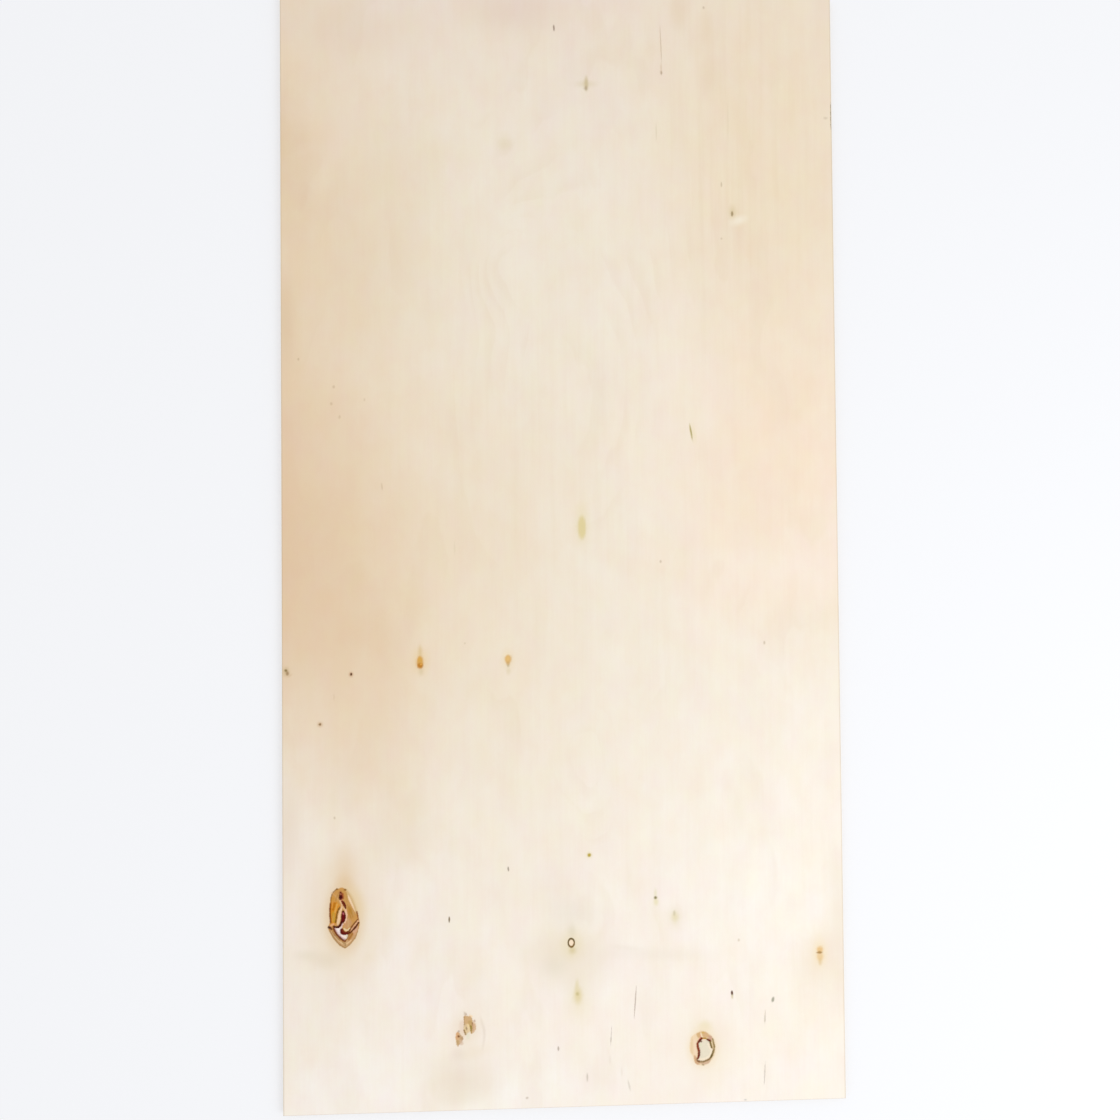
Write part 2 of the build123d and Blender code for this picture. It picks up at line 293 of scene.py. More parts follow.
tornGrain = {
    "middle": (-109.5, -525.1),
    "reach": (24, 30),
    "wander": 0.4,
    "depth": 0.4,
    "wood": "#D2AC7D",
    # middle, size and outline of each torn place
    "tears": [
        ((-104.9, -518.5), (12.8, 18.6), [
            (-0.5, 0.49), (-0.23, 0.5), (0.12, 0.43), (0.22, 0.12), (0.43, 0.02), (0.5, -0.15), (0.39, -0.4),
            (0.12, -0.5), (-0.01, -0.42), (-0.08, -0.16), (-0.24, -0.04), (-0.47, 0.04),
        ]),
        ((-116.7, -533.8), (8.2, 15.8), [
            (-0.37, 0.47), (-0.05, 0.5), (0.16, 0.33), (0.49, 0.12), (0.4, -0.1), (0.08, -0.34),
            (-0.17, -0.5), (-0.4, -0.33), (-0.5, 0.02), (-0.49, 0.29),
        ]),
    ],
    "areas": [
        ("#ECD6C4", 3, 0.75, [(-6.6, 9.5), (-2.4, 11), (-2.2, 2), (-3, -2), (-6.4, -1)]),
        ("#EFD9C0", 2.4, 0.7, [(-7, 0), (-3.4, 0.6), (-0.6, -4.6), (-4, -7)]),
        ("#D6BA90", 1.8, 0.9, [(-2.2, 6.6), (3.6, 6.4), (4, -0.4), (1.6, -2.4), (-0.4, -4.4), (-2.2, -0.8)]),
        ("#D4AF80", 1.2, 0.95, [
            (-2, 16), (1.2, 16), (4.6, 14.6), (6.6, 13.2), (6.8, 5.8), (4, 6.2), (0.4, 7.6), (-2, 8),
        ]),
        ("#C8A66C", 1.8, 0.85, [(2.2, 10), (6.6, 10.4), (6.8, 3.9), (3.9, 4.6)]),
        ("#E2C09C", 2.4, 0.8, [(7.2, 10), (10, 8.2), (10.6, 4), (9.4, 0), (6.8, -2.4), (6.8, 3.2)]),
        ("#C99E7A", 1.6, 0.65, [(6.9, 8.2), (8.4, 6.6), (8.8, 2.6), (7.6, -0.4), (6.8, 3)]),
        ("#DDAC7E", 1.8, 0.8, [(-10.4, -1.8), (-8, -2.2), (-8, -7), (-10.9, -8)]),
        ("#BE9C76", 2.2, 0.8, [(-6.4, -4.4), (-3.3, -7.1), (-3.9, -10.4), (-6, -9)]),
        ("#C2A272", 1.8, 0.75, [(-10.6, -10), (-7.8, -11), (-8.4, -16.2), (-10.2, -14)]),
        ("#D9BCA2", 2.2, 0.7, [(-6.6, -9.6), (-3.8, -10.6), (-2.8, -14), (-6.4, -14.6)]),
        ("#E2E0C4", 3, 0.55, [(0.4, -3.2), (3.4, -3.2), (3.2, -8.6), (0.8, -8.2)]),
        ("#D8C8B4", 2.2, 0.7, [(-2.2, 20.6), (0.2, 19.4), (1.2, 16.8), (-2, 16.8)]),
    ],
    "lines": [
        ("#B38E60", 1, 0.8, [(-1.7, 14.8), (-1.8, 10.4), (-1.6, 6.6)]),
        ("#F9D9AE", 1.8, 0.85, [(4.2, 16.6), (6.4, 15.4)]),
        ("#EDD09C", 1.1, 0.9, [(1, 7.2), (2.2, 4.6)]),
        ("#F0D6A6", 1.4, 0.9, [(2.4, 6.6), (3, 3), (3.2, -0.6)]),
        ("#94802C", 2.2, 0.9, [(5.4, 4.4), (5.6, 0.4)]),
        ("#B79458", 1.6, 0.8, [(5.6, -0.4), (5.8, -2.2)]),
        ("#93673C", 0.9, 0.85, [(6.8, 8.6), (7, 6)]),
        ("#9C7A4A", 1.5, 0.9, [(-2, 0.6), (-1.4, -1.4), (-0.6, -3.6)]),
        ("#A88A64", 1.3, 0.85, [(0.2, 3.6), (1, 1.4)]),
        ("#EAD29C", 1.3, 0.9, [(-1.2, 3.4), (-0.6, 1), (0.4, -1.2)]),
        ("#E4C8A0", 1.1, 0.8, [(1.4, 1.8), (1.8, -1.4)]),
        ("#82522A", 2, 0.95, [(-8.1, -5.8), (-7.9, -6.2)]),
        ("#E6BA8A", 1.4, 0.8, [(-8.8, -8.6), (-8.6, -9)]),
        ("#C6AF98", 2, 0.7, [(-0.4, 18.2), (0.2, 17.8)]),
        ("#C4A690", 2, 0.75, [(9.1, 10.7), (9.4, 10.2)]),
        ("#BCA898", 2.2, 0.75, [(-8.2, -0.6), (-7.8, -0.4)]),
    ],
}

ringKnot = {
    "middle": (5.2, -433.4),
    "reach": (9, 10),
    "wander": 0.12,
    "half": (3.25, 4.4),
    "groove": 1.75,
    "depth": 0.5,
    "inside": "#F9E3C6",
    "line": "#66511C",
    "lineLow": "#92703E",
}

# Checks that are open enough to be cut into the solid too: across, along, half length, lean to the right in
# degrees, colour, strength
openChecks = {
    "width": 0.8,
    "wander": 0.15,
    "depth": 0.5,
    "rows": [
        (74.4, -498.4, 16, 4.5, "#B5A699", 0.65), (47.6, -535, 10.4, 4, "#CBC5C4", 0.42),
        (216.7, -518, 6.6, 1, "#C8C2AE", 0.3), (215.5, -580.7, 11.6, 3.5, "#C0BBB4", 0.5),
        (113.8, 555.5, 20, -2, "#9C8A66", 0.22), (142.7, 123.1, 9, -9, "#C2B680", 0.3),
    ],
}

splinter = {
    "along": 476.5,
    "length": 33,
    "reach": 1.1,
    "wander": 0.3,
    "depth": 0.7,
    # painted shade: the colour laid in and along the bite
    "colour": "#7E735F",
    "shadeStrength": 0.85,
}

# Small marks: across, along, half width, half length, colour and strength, then softness, sink in mm and
# lean to the right in degrees where they aren't the usual ones. The half sizes reach to where a mark has
# faded by half.
usualTouch = (1.0, 0.0, 0.0)
stains = [
    (-239, -352, 11, 24, "#E8CCA8", 0.62), (-239, -364, 7, 9, "#E2BC8C", 0.55),
    (-243, -400, 31, 56, "#EAD6B8", 0.55, 0.9), (-239.6, -401, 20, 36, "#E4C79C", 0.7, 0.4),
    (-229, -384, 10, 16, "#EBD2A4", 0.45, 0.8, 0, -20), (-258, -446, 14, 8, "#E0D2B6", 0.36),
    (-280, -440, 11, 5, "#E2D6BE", 0.35), (8, -448, 34, 27, "#E8DCC2", 0.45),
    (10, -401, 24, 12, "#E6DED2", 0.32), (-26, -440, 26, 16, "#EBDDC6", 0.25),
    (-14, -458, 12, 9, "#E2D8C8", 0.28), (6, -436, 10, 13, "#EADBB6", 0.55, 0.9),
    (6, -421, 3.6, 5.5, "#DDD4BC", 0.45), (6.4, -441.6, 3.2, 3.4, "#D6C696", 0.7),
    (150.4, -527, 6, 5, "#EADFB8", 0.8, 0.8), (150, -532, 9, 6, "#F0E2C0", 0.55, 0.9),
    (148, -551, 27, 36, "#F3E5CE", 0.5, 0.9), (148, -551, 17, 21.5, "#F4E2C4", 0.65, 0.3),
    (-109, -524, 13, 17, "#EEDDC6", 0.65, 0.9), (-113, -570, 28, 18, "#E6D5BE", 0.36),
    (-118, -550, 6, 6, "#DECDBC", 0.28), (-100, -548, 14, 6, "#EEDCC0", 0.35, 1, 0, -15),
    (-112, -585, 28, 12, "#E4D6BA", 0.27), (-120, -598, 20, 6, "#E8DCC6", 0.22),
    (-92, -518, 1.3, 6.5, "#DDCFBE", 0.36, 1, 0, -12), (-89.8, -528, 1.3, 7, "#DDCFBE", 0.4),
    (-90.8, -539, 1.3, 5.5, "#E0D4C4", 0.3, 1, 0, 9), (98, -448, 46, 6, "#E8DED0", 0.24, 1, 0, 3),
    (64, -440, 14, 2.4, "#EBE0D0", 0.25, 1, 0, 8), (-156.4, -126, 7, 11, "#EDD09C", 0.6),
    (-156.4, -116, 1.9, 6.5, "#DDC28E", 0.7, 0.9), (-155.5, -137, 2.4, 3.6, "#D9C7A2", 0.55, 0.9),
    (-61, -125.3, 6, 8.5, "#EEDBB2", 0.6), (-60.6, -137.6, 2, 3.4, "#E2D3AE", 0.55, 0.9),
    (-62, -119.8, 3, 2, "#F4E4C4", 0.6, 0.9), (278.5, -452, 12, 19, "#F0DFC2", 0.45),
    (278.5, -451, 6, 12, "#F5E2BC", 0.65, 0.9), (21, 21, 6.5, 17, "#ECE0BC", 0.55, 0.9),
    (21, 37, 5, 8, "#EFE2C0", 0.35), (145.5, 122, 2.4, 9, "#EDE0B0", 0.35, 1, 0, -10),
    (11, -486, 10, 17, "#EADFC2", 0.4), (12, -490.5, 4.2, 8.4, "#E0D09C", 0.78, 0.7),
    (10.9, -479.5, 1.8, 5.5, "#E4D7AE", 0.7, 0.9, 0, 4), (30.2, 510, 9, 3, "#E0D2B2", 0.55),
    (-60, 442, 7, 7, "#E2D2AC", 0.45), (-50, 590, 46, 19, "#E2C8BA", 0.34),
    (-225, 572, 70, 26, "#E4D2C6", 0.18), (167, 577, 7, 22, "#E2C8A2", 0.22),
    (168, 522, 9, 20, "#E2C8A2", 0.28, 1, 0, 4), (135, 594, 8, 20, "#E2C8A6", 0.26),
    (191.8, 368, 3.4, 6, "#DECBA2", 0.65), (199, 359, 8, 4, "#F8EEDA", 0.85, 1, 0, -20),
    (97.8, -382, 1.6, 4.4, "#EAE2C4", 0.75, 0.8), (98.2, -391, 2.4, 4, "#EBE1BA", 0.8, 0.8),
    (119, -408, 7, 10, "#EADFC4", 0.45), (119, -408, 3.4, 5, "#E6DAB2", 0.7, 0.8),
    (25.8, -339, 2.8, 3, "#EFE4B4", 0.6, 0.9), (-301, -314, 12, 48, "#E0CCB2", 0.3),
    (300, -405, 11, 60, "#E8D8C2", 0.34), (-301, 244, 10, 40, "#D6B68E", 0.3),
    (15, -506, 14, 15, "#F0DFB6", 0.3), (-300.6, -135.4, 3.2, 4.6, "#CBB284", 0.6, 0.8),
    (-296.4, -139.6, 2.6, 1.1, "#D2B490", 0.45, 0.9, 0, -35),
]
pins = [
    (-156.5, -127, 3.6, 6.7, "#D9A44C", 0.9, 0.3, 0.15), (-156.8, -124, 1.9, 2.8, "#DDA84C", 0.8, 0.7),
    (-156.4, -130.6, 3.1, 2.7, "#C07E28", 0.95, 0.45, 0.2), (-155.4, -129.4, 1, 0.9, "#F0B45A", 0.8, 0.6),
    (-61, -124.8, 3.5, 4.8, "#DFB46E", 0.95, 0.3, 0.15), (-61.2, -124.4, 1.7, 2.6, "#EAC07A", 0.8, 0.7),
    (-61, -129.6, 1.9, 2.2, "#CDA566", 0.7, 0.5), (-61, -132, 1.4, 1.3, "#BBAE84", 0.55, 0.6),
    (278.6, -447.2, 3.5, 3.3, "#E8C288", 0.95, 0.4, 0.1), (278.6, -455, 3.6, 4.4, "#EBCB9A", 0.9, 0.45),
    (278.6, -460.5, 1.9, 3.8, "#E0C28E", 0.6, 0.6), (278, -450.6, 3.3, 1.2, "#A87C3C", 0.85, 0.45, 0.15),
    (21, 18.4, 4.5, 12.7, "#E2D29C", 0.92, 0.28), (11.4, -488.6, 1.6, 1.8, "#C4B67E", 0.65, 0.6, 0.1),
    (30.4, 510.5, 2.1, 7.6, "#CDBB90", 0.72, 0.6, 0.1), (30, 505.4, 1.6, 2.4, "#B4A284", 0.7, 0.5, 0.1),
    (97.7, -386.7, 1.6, 1.6, "#8E845A", 1, 0.4, 0.15), (118.2, -404, 1.2, 2.8, "#CCC2A2", 0.6, 0.6),
    (25.8, -339, 1.9, 1.9, "#B8A030", 1, 0.5, 0.1), (-300.7, -134.1, 1.5, 1.3, "#7E6834", 0.8, 0.5, 0.15),
    (-299.2, -137.3, 1.6, 2.2, "#98764E", 0.74, 0.55, 0.1), (-230.9, -139.1, 2.2, 2.4, "#C49A72", 0.7, 0.6),
    (-230.9, -139, 1, 1.5, "#50280E", 1, 0.4, 0.2), (-264.4, -192.7, 2.5, 2.5, "#CEAE86", 0.7, 0.7),
    (-264.4, -192.6, 1.2, 1.2, "#7A5626", 0.8, 0.4, 0.15),
    (191.6, 366.3, 1.3, 2.9, "#8A7042", 0.68, 0.4, 0.1), (-286.2, 203.8, 1, 1.4, "#B49A74", 0.42, 0.5),
    (-248.2, 173.6, 1.3, 1.6, "#C0A682", 0.42, 0.5), (-250.9, 155.1, 1.3, 1.7, "#BCA07A", 0.38, 0.5),
    (-215, 159.4, 0.9, 1.6, "#C4AC88", 0.32, 0.5), (-242.1, 140.6, 1.3, 2, "#C0A682", 0.35, 0.5),
    (107.4, -19.5, 1.1, 1.5, "#A08A60", 0.38, 0.5), (221.3, -110.1, 1.1, 1.8, "#A4906A", 0.42, 0.5),
    (-249.3, -293.5, 1.1, 1.4, "#A08A68", 0.36, 0.5), (-107.8, -107, 1, 1, "#C4B28E", 0.35, 0.5),
    (188.8, -434.8, 1.2, 1.5, "#AE9A70", 0.36, 0.5), (179.2, 338.4, 1.1, 1.1, "#B8A280", 0.36, 0.5),
    (-44.2, -598.7, 1.5, 1.2, "#A8947A", 0.45, 0.5), (162.4, 597.6, 1.1, 1.5, "#B09A80", 0.45, 0.5),
    (298.1, 474.8, 2.2, 1.5, "#A08A6C", 0.25, 0.5), (-4.8, 572.4, 1, 3.4, "#9A8474", 0.85, 0.4, 0.1, -3),
    (142.6, 123.4, 1.1, 8.8, "#CCC08E", 0.75, 0.32, 0, -9),
    (142.4, 124.4, 0.7, 5, "#B4A660", 0.6, 0.5, 0, -9), (179.9, 399, 0.8, 2.8, "#A48E6A", 0.42, 0.5),
    (-196.6, 64.5, 0.8, 3.6, "#B8A07C", 0.36, 0.5, 0, -6),
    (-62.5, -352.2, 0.9, 2.4, "#8E8270", 0.8, 0.4, 0, -6), (-126.7, -405.3, 0.9, 3, "#7E6C4C", 0.95, 0.4),
    (180.7, -492.3, 1.25, 2.8, "#5A2C10", 1, 0.4, 0.1, -4), (180.9, -496, 1.2, 2.4, "#D8CCAA", 0.8, 0.6),
    (225.8, -500.3, 1.5, 2.8, "#AAA896", 1, 0.4, 0, 14), (-9.8, -546.8, 0.9, 2.4, "#988676", 0.65, 0.4),
    (21.3, -578.7, 1, 4.2, "#D2C8BA", 0.9, 0.5), (193.9, -608, 1.4, 0.9, "#A8A8A8", 0.45, 0.5),
    (66.8, -588.6, 1, 5.6, "#CDC4B6", 0.5, 0.5, 0, -12), (58.9, -573.9, 1, 4.6, "#EADFD2", 0.45, 0.6),
    (46.2, -560.7, 1, 4.6, "#EADFD2", 0.45, 0.6), (107.8, 457.1, 0.9, 9, "#D8C8AC", 0.38, 0.6),
    (188.1, 470.3, 0.9, 19, "#D6C4A2", 0.2, 0.6), (-249.3, -163.3, 0.8, 3.4, "#CDB492", 0.28, 0.5),
    (-118.3, -3, 0.9, 6.4, "#D8C8A8", 0.28, 0.6), (114.2, 523.6, 0.9, 2.2, "#9A7E58", 0.6, 0.5),
    (114, 529, 0.8, 5, "#C4A67E", 0.35, 0.6), (47.4, -539, 0.7, 3, "#B5A58C", 0.4, 0.5),
    (216.5, -521.5, 0.8, 4.5, "#C4BCAC", 0.48, 0.5),
]
markRows = [row + usualTouch[len(row) - 6:] for row in stains + pins]

sheetMesh = {
    "cell": 8.0,  # plain parts of the face
    "finest": 0.5,  # at the cuts, and the least at the small marks
    "room": 2,  # how far the finest cells reach round the big knots, mm
    "tearRoom": 3,  # across the torn grain
    "ringHalf": (6, 7),  # half sizes of the fine place at the ring knot
    "checkHalf": 2,  # and half widths at the checks and the splinter
    "splinterHalf": 2.5,
    "markShare": 0.45,  # cells at a small mark, as a share of its lesser half size
    "spread": 0.4,  # how fast the cells grow away from a mark
    "passes": 5,
    "stretch": 1.6,  # edges longer than this many wanted cells are split
    "straight": 3.1,  # radians from which a corner counts as straight
    "plies": 5,
    "arris": 0.4,
    "glueBand": 0.1,  # rows of the walls stand this far from each glue line
    "fibreLift": 0.06,  # uneven sawn ends of the cross plies
    "wallBand": 0.05,  # points this near the outside of a long edge are on its sawn wall
}


# Cell size wanted at each place: fine at the marks, growing away from them
def cellAt(places):
    finest, room = sheetMesh["finest"], sheetMesh["room"]
    cuts = [(knot["middle"], knot["size"], room) for knot in (barkKnot, openKnot)]
    cuts += [(middle, size, sheetMesh["tearRoom"]) for middle, size, _ in tornGrain["tears"]]
    spots = [(*middle, size[0] / 2 + beside, size[1] / 2 + room, finest) for middle, size, beside in cuts]
    spots.append((*ringKnot["middle"], *sheetMesh["ringHalf"], finest))
    spots += [(x, y, sheetMesh["checkHalf"], half, finest) for x, y, half, *_ in openChecks["rows"]]
    spots.append((halfWidth, splinter["along"], sheetMesh["splinterHalf"], splinter["length"] / 2, finest))
    spots += [(*row[:4], max(finest, sheetMesh["markShare"] * min(row[2:4]))) for row in markRows]
    wanted = np.full(len(places), sheetMesh["cell"])
    for x, y, halfX, halfY, cell in spots:
        beyond = np.maximum(np.abs(places - (x, y)) - (halfX, halfY), 0)
        wanted = np.minimum(wanted, cell + sheetMesh["spread"] * np.hypot(beyond[:, 0], beyond[:, 1]))
    return wanted


# Closed shell: a face and an underside inset by the eased arris, and walls with rows at every glue line
def sheetShell():
    bm = bmesh.new()
    skin = bm.faces.layers.int.new("skin")  # 0 face, 1 edges, 2 underside
    arris, plies, band = sheetMesh["arris"], sheetMesh["plies"], sheetMesh["glueBand"]
    ply = faceHeight / plies
    columns, rows = round(2 * halfWidth / sheetMesh["cell"]), round(2 * halfLength / sheetMesh["cell"])

    def place(i, j, inset, z):
        x, y = (halfWidth - inset) * (2 * i / columns - 1), (halfLength - inset) * (2 * j / rows - 1)
        return bm.verts.new((x, y, z))

    def level(z):
        return [[place(i, j, arris, z) for j in range(rows + 1)] for i in range(columns + 1)]

    def faceOf(corners, kind):
        bm.faces.new(corners)[skin] = kind

    top, under = level(faceHeight), level(0)
    for i in range(columns):
        for j in range(rows):
            faceOf((top[i][j], top[i + 1][j], top[i + 1][j + 1], top[i][j + 1]), 0)
            faceOf((under[i][j], under[i][j + 1], under[i + 1][j + 1], under[i + 1][j]), 2)
    edgeShade = [(i, 0) for i in range(columns)] + [(columns, j) for j in range(rows)]
    edgeShade += [(i, rows) for i in range(columns, 0, -1)] + [(0, j) for j in range(rows, 0, -1)]
    heights = [faceHeight - arris]
    for k in range(plies - 1, 0, -1):
        heights += [(k + 0.5) * ply] * (k < plies - 1) + [k * ply + band, k * ply - band]
    heights.append(arris)
    rings = [[top[i][j] for i, j in edgeShade]]
    rings += [[place(i, j, 0, z) for i, j in edgeShade] for z in heights]
    rings.append([under[i][j] for i, j in edgeShade])
    for upper, lower in zip(rings, rings[1:]):
        for a in range(len(edgeShade)):
            b = (a + 1) % len(edgeShade)
            faceOf((upper[a], lower[a], lower[b], upper[b]), 1)
    return bm, skin


# Splits the face's edges near the marks until the cells are as small as wanted
def refine(bm, skin):
    for _ in range(sheetMesh["passes"]):
        edges = [e for e in bm.edges if any(f[skin] == 0 for f in e.link_faces)]
        ends = np.array([[*e.verts[0].co, *e.verts[1].co] for e in edges])
        lengths = np.linalg.norm(ends[:, :3] - ends[:, 3:], axis=1)
        tooLong = lengths > sheetMesh["stretch"] * cellAt((ends[:, :2] + ends[:, 3:5]) / 2)
        chosen = [e for e, split in zip(edges, tooLong) if split]
        if not chosen:
            break
        bmesh.ops.subdivide_edges(bm, edges=chosen, cuts=1, use_grid_fill=True)
    # cells with a straight corner are cut in triangles, so that none has no area
    bent = sheetMesh["straight"]
    uneven = [f for f in bm.faces if len(f.verts) > 4 or any(c.calc_angle() > bent for c in f.loops)]
    bmesh.ops.triangulate(bm, faces=uneven)


bm, skin = sheetShell()
refine(bm, skin)
blankMesh = bpy.data.meshes.new("sheetBlank")
bm.to_mesh(blankMesh)
bm.free()
noTint = np.zeros(4 * len(blankMesh.vertices))
blankMesh.attributes.new("markTint", "FLOAT_COLOR", "POINT").data.foreach_set("color", noTint)
blankMesh.attributes.new("markCover", "FLOAT", "POINT")
blank = addObject("sheetBlank", blankMesh)
blankMesh.calc_loop_triangles()
print("blank sheet,", len(blankMesh.loop_triangles), "triangles")


# Face veneer: rotary-cut birch, sanded and unfinished. It reads pale cream, matt, with faint wandering
# growth rings, short fibre streaks along the sheet and warmer clouds of heartwood.
faceVeneer = {
    "name": "sanded rotary-cut birch veneer",
    "cream": "#F6EEDF",
    # warm and pale clouds; the near-white ones towards the negative end, on the lamp's side, are partly
    # painted light: across, along, half width, half length, colour, strength
    "clouds": [
        (20, -640, 800, 520, "#FDF7EF", 0.9), (300, -360, 420, 460, "#FFFAF2", 0.75),
        (-60, 680, 560, 330, "#F0E0D1", 0.65), (-340, 330, 240, 560, "#E9CEAA", 0.7),
        (-230, 0, 330, 330, "#ECD5B2", 0.55), (-350, -10, 230, 330, "#E1C09C", 0.75),
        (-300, -400, 200, 260, "#F7EFE6", 0.7), (-215, -205, 120, 190, "#E9D0B0", 0.5),
        (-190, 320, 160, 150, "#E5CFA8", 0.28), (240, 420, 220, 400, "#F2DEBE", 0.55),
        (250, 90, 240, 280, "#FDE7D0", 0.6), (290, -470, 70, 80, "#F2E5D3", 0.55),
        (-160, -418, 70, 120, "#FBF6F2", 0.55), (210, -412, 120, 120, "#FFFDF6", 0.55),
        (110, 200, 110, 300, "#FCF4EA", 0.3), (290, 0, 70, 110, "#FDF0E4", 0.45),
        (-250, -615, 120, 70, "#FFFBF6", 0.55), (-40, -595, 90, 70, "#FFFDF9", 0.6),
        (-172, -495, 70, 70, "#FDF8F6", 0.5), (-225, -100, 80, 90, "#DFBC90", 0.24),
        (20, 485, 100, 110, "#F5ECE4", 0.4), (60, -450, 170, 170, "#FCF5F2", 0.35),
        (-267, 100, 60, 70, "#EFDCC4", 0.35), (-170, 425, 90, 90, "#E6D0AA", 0.22),
        (-175, -325, 70, 60, "#E8D9BE", 0.3), (-215, -580, 90, 70, "#FFFDFA", 0.6),
        (-60, 615, 280, 40, "#F1E3DC", 0.6), (210, -605, 120, 50, "#FDFAF6", 0.45),
        (-10, -370, 60, 50, "#F6EFE6", 0.45), (200, -40, 150, 90, "#FFF1E4", 0.3),
        (-300, 430, 40, 110, "#DDC09C", 0.3),
    ],
    "cloudDrift": (120, 90),  # size and reach of the clouds' uneven edges, mm
    # ring centres where the knife met a swelling of the log: across, along, half width, half length, height
    "swellings": [
        (-10, 180, 190, 420, 1), (22, -235, 80, 130, 0.5),
        (-66, 313, 70, 90, 0.45), (-260, 100, 130, 500, 0.4),
    ],
    "ringCount": 7,
    "rippleHeight": 0.12,
    # patterns in the wood: width and length in mm, detail, roughness
    "patterns": {
        "wander": (150, 525, 3, 0.45),  # slow bends of the growth rings
        "ripple": (26, 65, 2, 0.5),  # small waves in them
        "patches": (85, 119, 2, 0.5),  # where they come and go
        "fibre": (2.2, 60, 4, 0.6),  # real fibres are finer; drawn coarser so that they show
        "streak": (7, 210, 3, 0.55),
        "mottle": (38, 68.4, 5, 0.6),
    },
    # from where to where in its range each pattern comes out
    "ringShown": (0.42, 0.66),
    "streakShown": (0.48, 0.68),
    "woodShown": (0.3, 0.7),
    "blotchShown": (0.35, 0.65),
    # darker streaks: across, along, half width, half length, strength
    "streakBands": [(190, 430, 120, 330, 0.09), (-20, 60, 150, 330, 0.035)],
    # how far each pattern pulls towards its shade
    "ring": ("#D8BC94", 0.07),
    "fibre": ("#D8BC94", 0.036),
    "streak": ("#DABE96", 0.04),
    "mottle": ("#DFC5A2", 0.115),
    # pink and yellow blotches that tint the wood without darkening it: pattern, tint, strength
    "blotches": [((26, 39, 6, 0.65), "#FFF8FB", 0.62), ((31, 46.5, 6, 0.65), "#FFFFF3", 0.5)],
    "edgeShade": ("#A8977C", 0.42, 1.6),  # painted shade along the long edges, where the eased arris falls away from the light: shade, strength, mm in from the edge
    "roughness": 0.62,
    "specular": 0.12,
    "bump": 0.05,  # mm
    "bumpStrength": 0.35,
    "seed": 3,
}

# Underside veneer: the plainer back of the sheet, a touch darker and without knots
backVeneer = dict(
    faceVeneer,
    name="sanded birch back veneer",
    cream="#EBDCC2",
    clouds=[(-120, 240, 300, 500, "#E2CBA6", 0.6), (150, -300, 300, 420, "#F2E6D2", 0.6)],
    swellings=[(60, -80, 220, 560, 1), (-180, 300, 110, 260, 0.5)],
    streakBands=[(-140, 100, 150, 420, 0.25)],
    ring=("#CDAE84", 0.15),
    fibre=("#CDAE84", 0.1),
    streak=("#CDAE84", 0.12),
    seed=11,
)
birchIor = 1.45
roughSpread = 0.08  # roughness varies by this much with the grain


def startMaterial(name):
    material = bpy.data.materials.new(name)
    material.use_nodes = True
    material.node_tree.nodes.clear()
    return material, material.node_tree


def finishWood(tree, look, colour, grain, relief):
    smoothest, roughest = look["roughness"] - roughSpread, look["roughness"] + roughSpread
    rough = addNode(tree, "MapRange", {"To Min": smoothest, "To Max": roughest}, {"Value": grain})
    bump = addNode(tree, "Bump", {"Strength": look["bumpStrength"], "Distance": look["bump"] / 1000},
                   {"Height": relief})
    wood = addNode(tree, "BsdfPrincipled", {"IOR": birchIor, "Specular IOR Level": look["specular"]},
                   {"Base Color": colour, "Roughness": rough, "Normal": bump})
    addNode(tree, "OutputMaterial", links={"Surface": wood})


